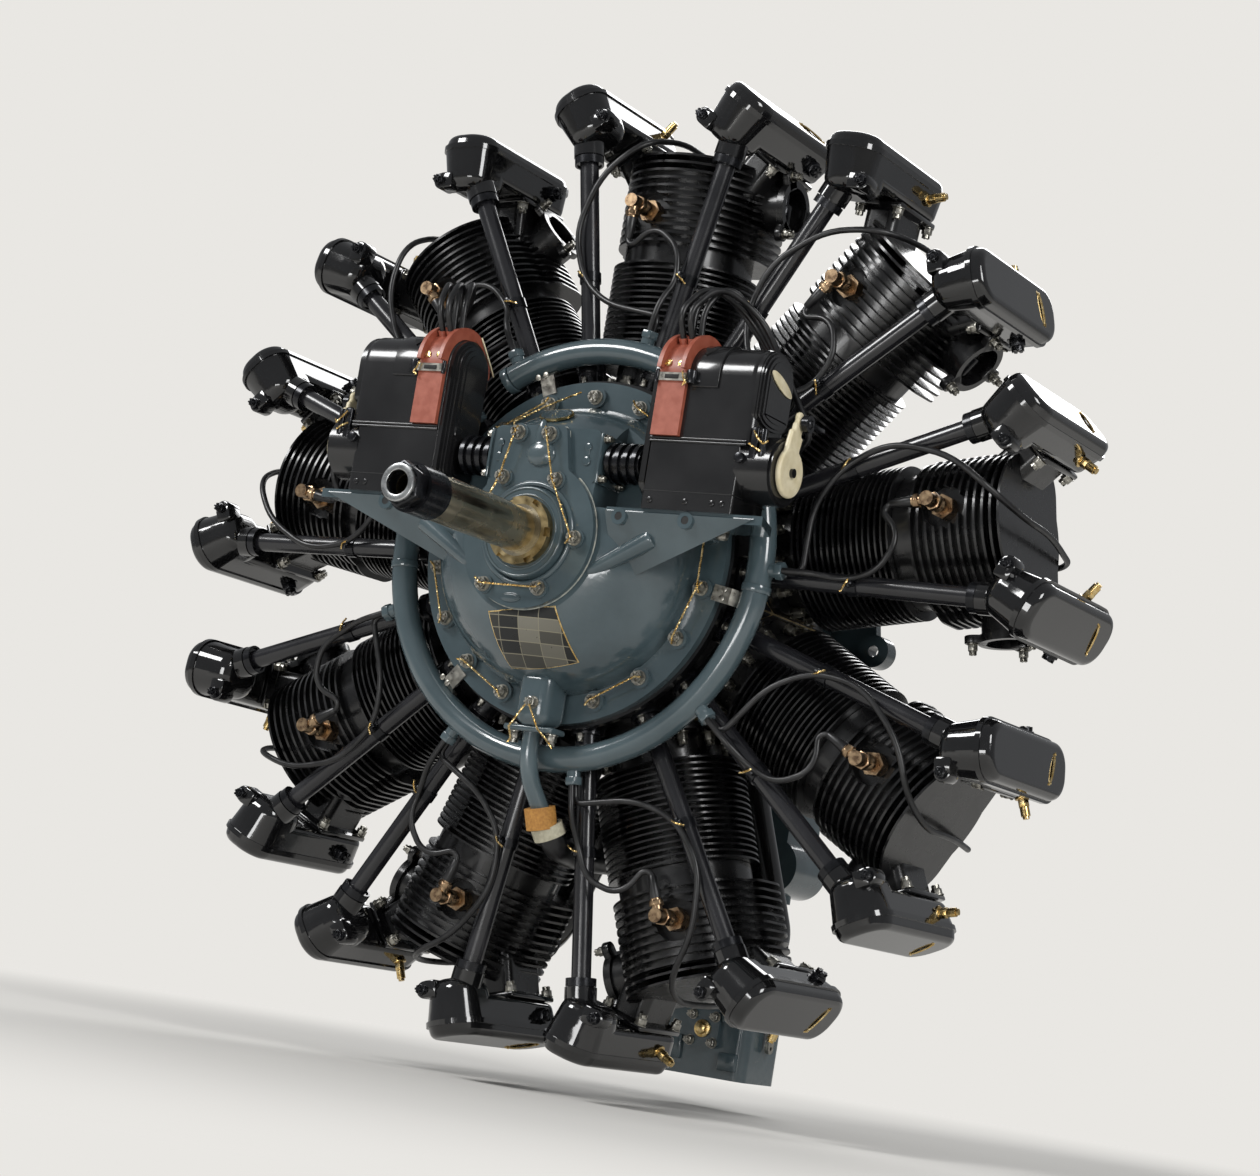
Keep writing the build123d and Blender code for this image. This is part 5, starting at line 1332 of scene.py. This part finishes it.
    def painted_highlights(self) -> None:
        """Painted highlights: pale ivory ovals on the outer end of the hood and on the shoulder of the inner
        cover, where light catches the rounded enamel.
        """
        # Painted highlight: a pale oval that stands in for light on the rounded black enamel.
        highlight_oval = placed(drum("highlight_oval", 1, 1.6, 40), Matrix.Diagonal((26, 6.5, 1, 1)))
        rounded(highlight_oval, 0.5)
        slope = Vector((0, 0.94, -0.34))
        outer = Matrix((slope, Vector(RIGHT).cross(slope), Vector(RIGHT))).transposed().to_4x4()
        facing = Vector((-0.72, 0.5, 0.48)).normalized()
        along = Vector((0, 0.69, -0.72))
        along = (along - facing * along.dot(facing)).normalized()
        inner = Matrix((along, facing.cross(along), facing)).transposed().to_4x4()
        spots = (at(267.8, -214, 186) @ outer, at(131, -190.5, 209) @ inner)
        places = [side @ spot for side in both_sides() for spot in spots]
        # Painted highlights on both hoods, in the ivory colours of the levers.
        lay("magneto_painted_highlights", highlight_oval, places, Look.IVORY_MOULDING)

    def brackets(self) -> None:
        """Forked bracket and round knob at the outer end of the seam, with locking wire."""
        parts = [
            placed(block("bar", size, bevel, 3), at(*place))
            for place, size, bevel in (
                ((266, -248, 113), (9, 8, 36), 2.2),
                ((273, -247, 124), (12, 6, 8), 1.6),
                ((273, -247, 104), (12, 6, 8), 1.6),
                ((258, -249, 96), (16, 5, 9), 1.6),
            )
        ]
        parts.append(placed(drum("barrel", 4.2, 30, 18, bevel=1.0), aimed((276, -248, 99), UP)))
        parts.append(placed(drum("knob", 6.0, 9, 20, bevel=1.6), aimed((253, -248, 96), FRONT)))
        self.on_both("seam_brackets", joined("bracket", parts), Look.BLUED_STEEL)
        routes = [
            [(266, -254, 126), (272, -255, 118), (279, -254, 112), (283, -251, 116)],
            [(262, -255, 112), (270, -256, 108), (277, -254, 104)],
        ]
        self.on_both("bracket_wires", twisted("lock", routes), Look.BRASS)

    def lever(self, side: int, body: str) -> None:
        """Rounded spoon lever on the end drum, in place of its plain CAD form.

        Args:
            side: 1 for the right-hand magneto and -1 for the left-hand one.
            body: the CAD body that it turns with.
        """
        disc = drum("disc", 27, 6.8, 64, bevel=2.6)
        raised(disc, lambda face: face.normal.z > 0.95 and face.area > 1e-4, (8, -0.5))
        parts = [disc]
        arms = (((-5, 12), (3, 44), 26), ((-1, 24), (4.4, 54), 17), ((2, 36), (5, 58), 12.4))
        for start, end, width in arms:
            run = Vector(end) - Vector(start)
            tilt = turned(-math.degrees(math.atan2(run.x, run.y)), "Z")
            arm = block("arm", (width, run.length, 6.2), 2.2, 4)
            parts.append(placed(arm, at((start[0] + end[0]) / 2, (start[1] + end[1]) / 2, 3.2) @ tilt))
        parts.append(placed(drum("tip", 6.2, 6.2, 24, bevel=2.2), at(5, 61.6, 0)))
        spoon = melted(joined(f"spoon_lever_{body.split('_')[-1]}", parts), 0.7, 14)
        stand = Matrix(((0, 0, 1), (1, 0, 0), (0, 1, 0))).to_4x4()
        placed(spoon, at(self.lever_face, self.middle, self.drive_height) @ stand)
        dress(on_side(spoon, side), Look.IVORY_MOULDING, body)
        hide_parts(f"advance_lever_{body.split('_')[-1]}")

    def rod_end(self, side: int, body: str) -> None:
        """Ball and rod end on the tip of the spoon lever.

        Args:
            side: 1 for the right-hand magneto and -1 for the left-hand one.
            body: the CAD body that it turns with.
        """
        deselect()
        bpy.ops.mesh.primitive_uv_sphere_add(segments=24, ring_count=12, radius=6.5 * MM)
        ball = placed(bpy.context.object, at(302, -205, 146))
        neck = placed(drum("neck", 3.2, 9, 14), aimed((295, -207, 147), RIGHT))
        eye = placed(ring_piece("eye", 9.5, 5.4, 7, 28), aimed((298.5, -205, 146), RIGHT))
        shank = placed(drum("shank", 4.4, 26, 6, bevel=0.8), aimed((302, -197.5, 146), REAR))
        end = joined(f"rod_end_{body.split('_')[-1]}", [ball, neck, eye, shank])
        dress(on_side(end, side), Look.BLUED_STEEL, body)

    def build(self) -> None:
        """Build every piece of both magnetos."""
        for part in (
            self.end_covers,
            self.outer_domes,
            self.saddles,
            self.beads,
            self.plinths,
            self.inner_ports,
            self.block_screws,
            self.straps,
            self.painted_highlights,
            self.brackets,
        ):
            part()
        for side, body in ((1, "advance_right"), (-1, "advance_left")):
            self.lever(side, body)
            self.rod_end(side, body)


# ------------------------------------------------------------------ ignition leads and ring
@dataclass
class LeadDetails:
    """Ferrules, collars, ties and screws along the ignition harness (millimetres)."""

    ring_radius: float = 234.6
    ring_plane: float = -138.0
    tube_radius: float = 15.0
    outlet_angle: float = 10.6
    outlet_reach: float = 262.0
    inlet_angles: tuple[float, ...] = (54.5, 57.5, 60.5, 63.5)
    bracket_angles: tuple[int, ...] = (100, 220, 340)
    sleeve_angles: tuple[float, ...] = (-33.5, -47.5, -97, 96)
    plug_offset: float = 18.5
    plug_height: float = 420.0
    elbow_plane: float = 112.0
    elbow_reach: float = 22.0
    clip_radius: float = 335.0
    clip_plane: float = -105.0
    tube_angle: float = 11.2

    def ferrules(self) -> None:
        """Tapered sleeve where every lead leaves its plug elbow."""
        deselect()
        bpy.ops.mesh.primitive_cone_add(
            vertices=24, radius1=6.6 * MM, radius2=4.3 * MM, depth=26 * MM, location=(0, 0, 13 * MM)
        )
        sleeve = rounded(settled("sleeve"), 0.8)
        reach = self.elbow_reach - 3
        low = aimed((-self.plug_offset, -self.elbow_plane, self.plug_height - reach), DOWN)
        high = aimed((self.plug_offset, self.elbow_plane, self.plug_height + reach), UP)
        lay("lead_ferrules", sleeve, on_cylinders(low, high), Look.BLACK_RUBBER)

    def elbow_nuts(self) -> None:
        """Union nut between every plug and its elbow, and the one on the elbow's mouth."""
        spots = []
        for side in (-1, 1):
            x, z = side * self.plug_offset, self.plug_height
            spots.append(aimed((x, side * 97, z), (0, side, 0), 10))
            mouth = aimed((x, side * self.elbow_plane, z + side * 11), (0, 0, side))
            spots.append(mouth @ Matrix.Scale(0.78, 4))
        nut = drum("nut", 10.5, 8, 6, bevel=0.9)
        lay("elbow_nuts", nut, on_cylinders(*spots), Look.HEAT_TINTED_STEEL)

    def outlet_collars(self) -> None:
        """Hexagon collar on every outlet of the ring, smaller on the magneto leads' inlets."""
        angles = [PITCH * k + self.outlet_angle for k in range(CYLINDERS)]
        angles += [side * angle for angle in self.inlet_angles for side in (-1, 1)]
        places = []
        for k, angle in enumerate(angles):
            spot = Vector(on_circle(angle, self.outlet_reach - 7, self.ring_plane))
            size = 1.0 if k < CYLINDERS else 0.62
            places.append(aimed(spot, (spot.x, 0, spot.z)) @ Matrix.Diagonal((size, size, 1, 1)))
        lay("outlet_collars", drum("collar", 10.4, 9, 6, bevel=0.9), places, Look.RING_ENAMEL)

    def ring_sleeves(self) -> None:
        """Joint sleeves and end caps of the ring."""
        places = []
        for angle in self.sleeve_angles:
            turn = math.radians(angle)
            spot = on_circle(angle, self.ring_radius, self.ring_plane)
            places.append(aimed(spot, (math.cos(turn), 0, -math.sin(turn))) @ at(0, 0, -4.5))
        sleeve = drum("sleeve", self.tube_radius + 1.5, 9, 40, bevel=1.2)
        lay("ring_sleeves", sleeve, places, Look.RING_ENAMEL)

    def bracket_screws(self) -> None:
        """Screws that hold the ring to its brackets."""
        places = [
            aimed(on_circle(angle + shift / 4, self.ring_radius - 25, -160), FRONT, angle)
            for angle in self.bracket_angles
            for shift in (-5.5, 5.5)
        ]
        lay("bracket_screws", cheese_screw(3.6, 2), places, Look.PLATED_STEEL)

    def clip_bolts(self) -> None:
        """Clamp ear and bolt on every lead clip."""
        ear = placed(block("ear", (5, 12, 11), 1.0), at(0, -15.5, 0))
        bolt = placed(drum("bolt", 3.4, 10, 6, bevel=0.5), aimed((-5, -18, 0), RIGHT))
        spots = [
            at(0, self.clip_plane, 0) @ turned(side * self.tube_angle) @ at(0, 0, self.clip_radius)
            for side in (-1, 1)
        ]
        lay("clip_bolts", joined("ear", [ear, bolt]), on_cylinders(*spots), Look.BLUED_STEEL)

    def ties(self) -> None:
        """Brass tie wire round the leads at every clip."""
        run = ((-7, 2, 4), (-1, -3, 1), (5, -2, -4), (9, 1, -9))
        routes = []
        for side in (-1, 1):
            x, y, z = on_circle(side * self.tube_angle, self.clip_radius, self.clip_plane - 20)
            routes.append([(x + dx, y + dy, z + dz) for dx, dy, dz in run])
        lay("clip_ties", twisted("tie", routes, 0.7), cylinder_turns(), Look.BRASS)

    def build(self) -> None:
        """Build every fitting of the harness."""
        for part in (
            self.ferrules,
            self.elbow_nuts,
            self.outlet_collars,
            self.ring_sleeves,
            self.bracket_screws,
            self.clip_bolts,
            self.ties,
        ):
            part()


# ------------------------------------------------------------------ crankcase and rear
@dataclass
class CaseDetails:
    """Fastenings and worn edges of the crankcase, induction case and rear (millimetres)."""

    corner_radius: float = 211.6
    half_width: float = 78.0
    tube_plane: float = -105.0
    tube_angle: float = 11.2
    intake_foot: Point = (-42.0, 116.0, 205.0)
    intake_head: Point = (-42.0, 84.0, 440.0)
    pipe_radius: float = 21.0
    rear_face: float = 160.0
    rear_end: float = 310.0
    duct_top: float = -430.0
    carburettor_front: float = 327.0
    throttle_plane: float = 373.5

    def worn_ridges(self) -> None:
        """Bronze-coloured metal showing along the ridges between the cylinder pads."""
        reach = self.half_width - 6
        route = [(0, -reach, self.corner_radius), (0, reach, self.corner_radius)]
        branches = [
            [(0, side * 46, self.corner_radius), (hand * 15, side * (reach + 1), self.corner_radius - 5)]
            for side in (-1, 1)
            for hand in (-1, 1)
        ]
        ridge = wire("ridge", [route, *branches], 1.3, smooth=False)
        lay("worn_ridges", ridge, [turned(PITCH * (k + 0.5)) for k in range(CYLINDERS)], Look.WORN_BRONZE)

    def tube_fittings(self) -> None:
        """Pair of nuts on every tappet guide, and ribbed gland nuts on both ends of every push rod tube."""
        feet = [
            turn @ at(0, self.tube_plane, 0) @ turned(side * self.tube_angle)
            for turn in cylinder_turns()
            for side in (-1, 1)
        ]
        places = [foot @ aimed((0, y, 203), UP) @ Matrix.Scale(0.8, 4) for foot in feet for y in (-17, 17)]
        lay("guide_nuts", castle_nut(9, 6), places, Look.PLATED_STEEL)
        places = [foot @ at(0, 0, z) for foot in feet for z in (219, 474)]
        lay("gland_nuts", ring_piece("gland", 17.2, 14.6, 9, 20), places, Look.BLUED_STEEL)

    def intake_glands(self) -> None:
        """Packing nut at both ends of every intake pipe."""
        nut = ring_piece("gland", self.pipe_radius + 6, self.pipe_radius + 0.4, 12, 24)
        spots = (aimed(self.intake_foot, UP), aimed(self.intake_head, REAR))
        lay("intake_glands", nut, on_cylinders(*spots), Look.BLUED_STEEL)

    def rear_nuts(self) -> None:
        """Nuts round the flange of the rear cover and the pad on its end."""
        places = [aimed(on_circle(k * 22.5, 157, self.rear_face + 10), REAR) for k in range(16)]
        places += [aimed(on_circle(k * 45 + 22.5, 88, self.rear_end), REAR) for k in range(8)]
        lay("rear_nuts", castle_nut(11, 7), places, Look.PLATED_STEEL)

    def carburettor(self) -> None:
        """Flange nuts, brass plug and cast pads of the carburettor."""
        middle, face = self.throttle_plane, self.carburettor_front - 6
        places = [aimed((x, middle + y, self.duct_top + 8), UP) for x in (-50, 50) for y in (-34, 34)]
        places += [aimed((x, face, z), FRONT) for x in (-16, 16) for z in (-520, -488)]
        lay("carburettor_nuts", castle_nut(10, 6), places, Look.PLATED_STEEL)
        collar = drum("collar", 11, 3, 32, bevel=0.8)
        plug = joined("carburettor_plug", [collar, drum("hexagon", 8, 9, 6, bevel=0.8)])
        dress(placed(plug, aimed((0, face, -504), FRONT)), Look.BRASS)
        pads = [
            placed(block("pad", size, 2.4, 3), at(*place))
            for place, size in (
                ((-38, 325.5, -470), (30, 8, 22)),
                ((38, 325.5, -476), (30, 8, 34)),
                ((-40, 325.5, -530), (24, 7, 30)),
                ((38, 325.5, -540), (26, 7, 22)),
                ((0, 326, -455), (30, 6, 14)),
            )
        ]
        dress(joined("carburettor_pads", pads), Look.GREY_ENAMEL)

    def hose_joint(self) -> None:
        """Cork-coloured sleeve where the oil pipe meets its hose, and the pale clamp behind it."""
        sleeve = ring_piece("cork_sleeve", 17.5, 10.2, 24, 32)
        dress(placed(sleeve, aimed((12.6, -152, -290), (0.16, 0.26, -0.95))), Look.CORK)
        band = ring_piece("hose_clamp", 18.5, 14.1, 14, 32)
        dress(placed(band, aimed((18.5, -141.5, -308), (0.27, 0.45, -0.85))), Look.PALE_FABRIC)

    def build(self) -> None:
        """Build every piece of the case and the rear."""
        for part in (
            self.worn_ridges,
            self.tube_fittings,
            self.intake_glands,
            self.rear_nuts,
            self.carburettor,
            self.hose_joint,
        ):
            part()


# ------------------------------------------------------------------ studio
@dataclass
class Studio:
    """Pale floor and backdrop, soft lights and the camera, in metres from the middle of the cylinders."""

    floor_height: float = -0.6
    floor_size: float = 40.0
    shadow_reach: float = 0.9
    shadow_fade: float = 2.2
    pale: str = "#e9e7e3"
    paper: tuple[str, str] = ("#d6d4d0", "#dddbd6")
    camera_place: Point = (1.825, -3.011, -0.475)
    camera_azimuth: float = 31.35
    camera_elevation: float = -7.46
    camera_roll: float = 9.15
    lens: float = 87.14
    sensor: float = 36.0

    def floor(self) -> None:
        """Pale floor that keeps the engine's shadow and runs into the backdrop without a line."""
        deselect()
        bpy.ops.mesh.primitive_grid_add(
            x_subdivisions=4, y_subdivisions=4, size=self.floor_size, location=(0, 0, self.floor_height)
        )
        floor = settled("studio_floor")
        material = bpy.data.materials.new("pale_paper")
        material.use_nodes = True
        tree = material.node_tree
        shader = tree.nodes["Principled BSDF"]
        place = add_node(tree, "ShaderNodeTexCoord").outputs["Object"]
        mottle = add_node(tree, "ShaderNodeTexNoise", {"Vector": place, "Scale": 2.0, "Detail": 3.0})
        ramp = add_node(tree, "ShaderNodeValToRGB", {"Fac": mottle.outputs["Fac"]})
        for stop, colour in zip(ramp.color_ramp.elements, self.paper):
            stop.color = linear(colour)
        tree.links.new(ramp.outputs["Color"], shader.inputs["Base Color"])
        shader.inputs["Roughness"].default_value = 0.9
        sweep = add_node(tree, "ShaderNodeEmission", {"Color": linear(self.pale), "Strength": 1.0})
        reach = add_node(tree, "ShaderNodeVectorMath", {0: place}, operation="LENGTH")
        fade = add_node(
            tree,
            "ShaderNodeMapRange",
            {
                "Value": reach.outputs["Value"],
                "From Min": self.shadow_reach,
                "From Max": self.shadow_reach * self.shadow_fade,
            },
            interpolation_type="SMOOTHSTEP",
        )
        paths = add_node(tree, "ShaderNodeLightPath")
        seen = add_node(
            tree,
            "ShaderNodeMath",
            {0: paths.outputs["Is Camera Ray"], 1: fade.outputs["Result"]},
            operation="MULTIPLY",
        )
        both = add_node(
            tree, "ShaderNodeMixShader", {0: seen.outputs[0], 1: shader.outputs[0], 2: sweep.outputs[0]}
        )
        output = next(node for node in tree.nodes if node.type == "OUTPUT_MATERIAL")
        tree.links.new(both.outputs[0], output.inputs["Surface"])
        floor.data.materials.append(material)

    def world(self) -> None:
        """Even soft light all round, with the pale backdrop where it is seen or mirrored."""
        world = bpy.data.worlds.new("studio")
        bpy.context.scene.world = world
        world.use_nodes = True
        tree = world.node_tree
        tree.nodes.clear()
        paths = add_node(tree, "ShaderNodeLightPath")
        seen = add_node(
            tree,
            "ShaderNodeMath",
            {0: paths.outputs["Is Camera Ray"], 1: paths.outputs["Is Transmission Ray"]},
        )
        fill = add_node(tree, "ShaderNodeBackground", {"Color": linear("#f2f3f5"), "Strength": 0.36})
        mirrored = add_node(tree, "ShaderNodeBackground", {"Color": linear("#c9cbce"), "Strength": 0.42})
        backdrop = add_node(tree, "ShaderNodeBackground", {"Color": linear(self.pale), "Strength": 1.0})
        soft = add_node(
            tree,
            "ShaderNodeMixShader",
            {0: paths.outputs["Is Glossy Ray"], 1: fill.outputs[0], 2: mirrored.outputs[0]},
        )
        both = add_node(
            tree, "ShaderNodeMixShader", {0: seen.outputs[0], 1: soft.outputs[0], 2: backdrop.outputs[0]}
        )
        add_node(tree, "ShaderNodeOutputWorld", {"Surface": both.outputs[0]})

    def lamp(self, name: str, place: Point, aim: Point, size: tuple[float, float], watts: float) -> None:
        """Add a rectangular soft box.

        Args:
            name: the lamp's name.
            place: where it hangs.
            aim: the point that it faces.
            size: its width and height.
            watts: its power.
        """
        light = bpy.data.lights.new(name, "AREA")
        light.shape = "RECTANGLE"
        light.size, light.size_y = size
        light.energy = watts
        lamp = bpy.data.objects.new(name, light)
        bpy.context.collection.objects.link(lamp)
        turn = (Vector(place) - Vector(aim)).to_track_quat("Z", "Y").to_matrix().to_4x4()
        lamp.matrix_world = Matrix.Translation((0, CYLINDER_PLANE, 0)) @ Matrix.Translation(place) @ turn

    def camera(self) -> None:
        """Camera a little below the crankshaft, off the starboard bow, with a slight roll."""
        azimuth, elevation, roll = (
            math.radians(angle) for angle in (self.camera_azimuth, self.camera_elevation, self.camera_roll)
        )
        sin_a, cos_a = math.sin(azimuth), math.cos(azimuth)
        sin_e, cos_e = math.sin(elevation), math.cos(elevation)
        right = Vector((cos_a, sin_a, 0))
        up = Vector((-sin_a * sin_e, cos_a * sin_e, cos_e))
        back = Vector((sin_a * cos_e, -cos_a * cos_e, sin_e))
        rolled_right = right * math.cos(roll) + up * math.sin(roll)
        rolled_up = up * math.cos(roll) - right * math.sin(roll)
        data = bpy.data.cameras.new("camera")
        data.lens = self.lens
        data.sensor_width = self.sensor
        camera = bpy.data.objects.new("camera", data)
        bpy.context.collection.objects.link(camera)
        turn = Matrix((rolled_right, rolled_up, back)).transposed().to_4x4()
        place = Vector(self.camera_place) + Vector((0, CYLINDER_PLANE, 0))
        camera.matrix_world = Matrix.Translation(place) @ turn
        bpy.context.scene.camera = camera

    def build(self) -> None:
        """Set up floor, light and camera."""
        self.floor()
        self.world()
        self.lamp("key", (-2.4, -3.0, 2.6), (0, 0, 0), (1.5, 1.2), 120)
        self.lamp("side", (3.6, -1.6, 1.6), (0, 0, 0), (1.2, 1.8), 75)
        self.lamp("low", (0.4, -3.6, -0.3), (0, 0, -0.1), (1.6, 0.4), 22)
        self.lamp("rear", (-1.0, 3.4, 2.4), (0, 0, 0), (2.4, 1.6), 60)
        self.camera()
        bpy.context.scene.view_settings.view_transform = "Standard"


def main() -> None:
    """Dress the frame, build every sub-assembly in order and set up the studio."""
    logging.basicConfig(level=logging.INFO, format="%(message)s")
    FrameDress().build()
    assemblies = (
        CylinderHardware(),
        RockerHardware(),
        NoseDetails(),
        ShaftEnd(),
        MagnetoDetails(),
        LeadDetails(),
        CaseDetails(),
    )
    for assembly in assemblies:
        assembly.build()
    Studio().build()


if __name__ == "__main__":
    main()
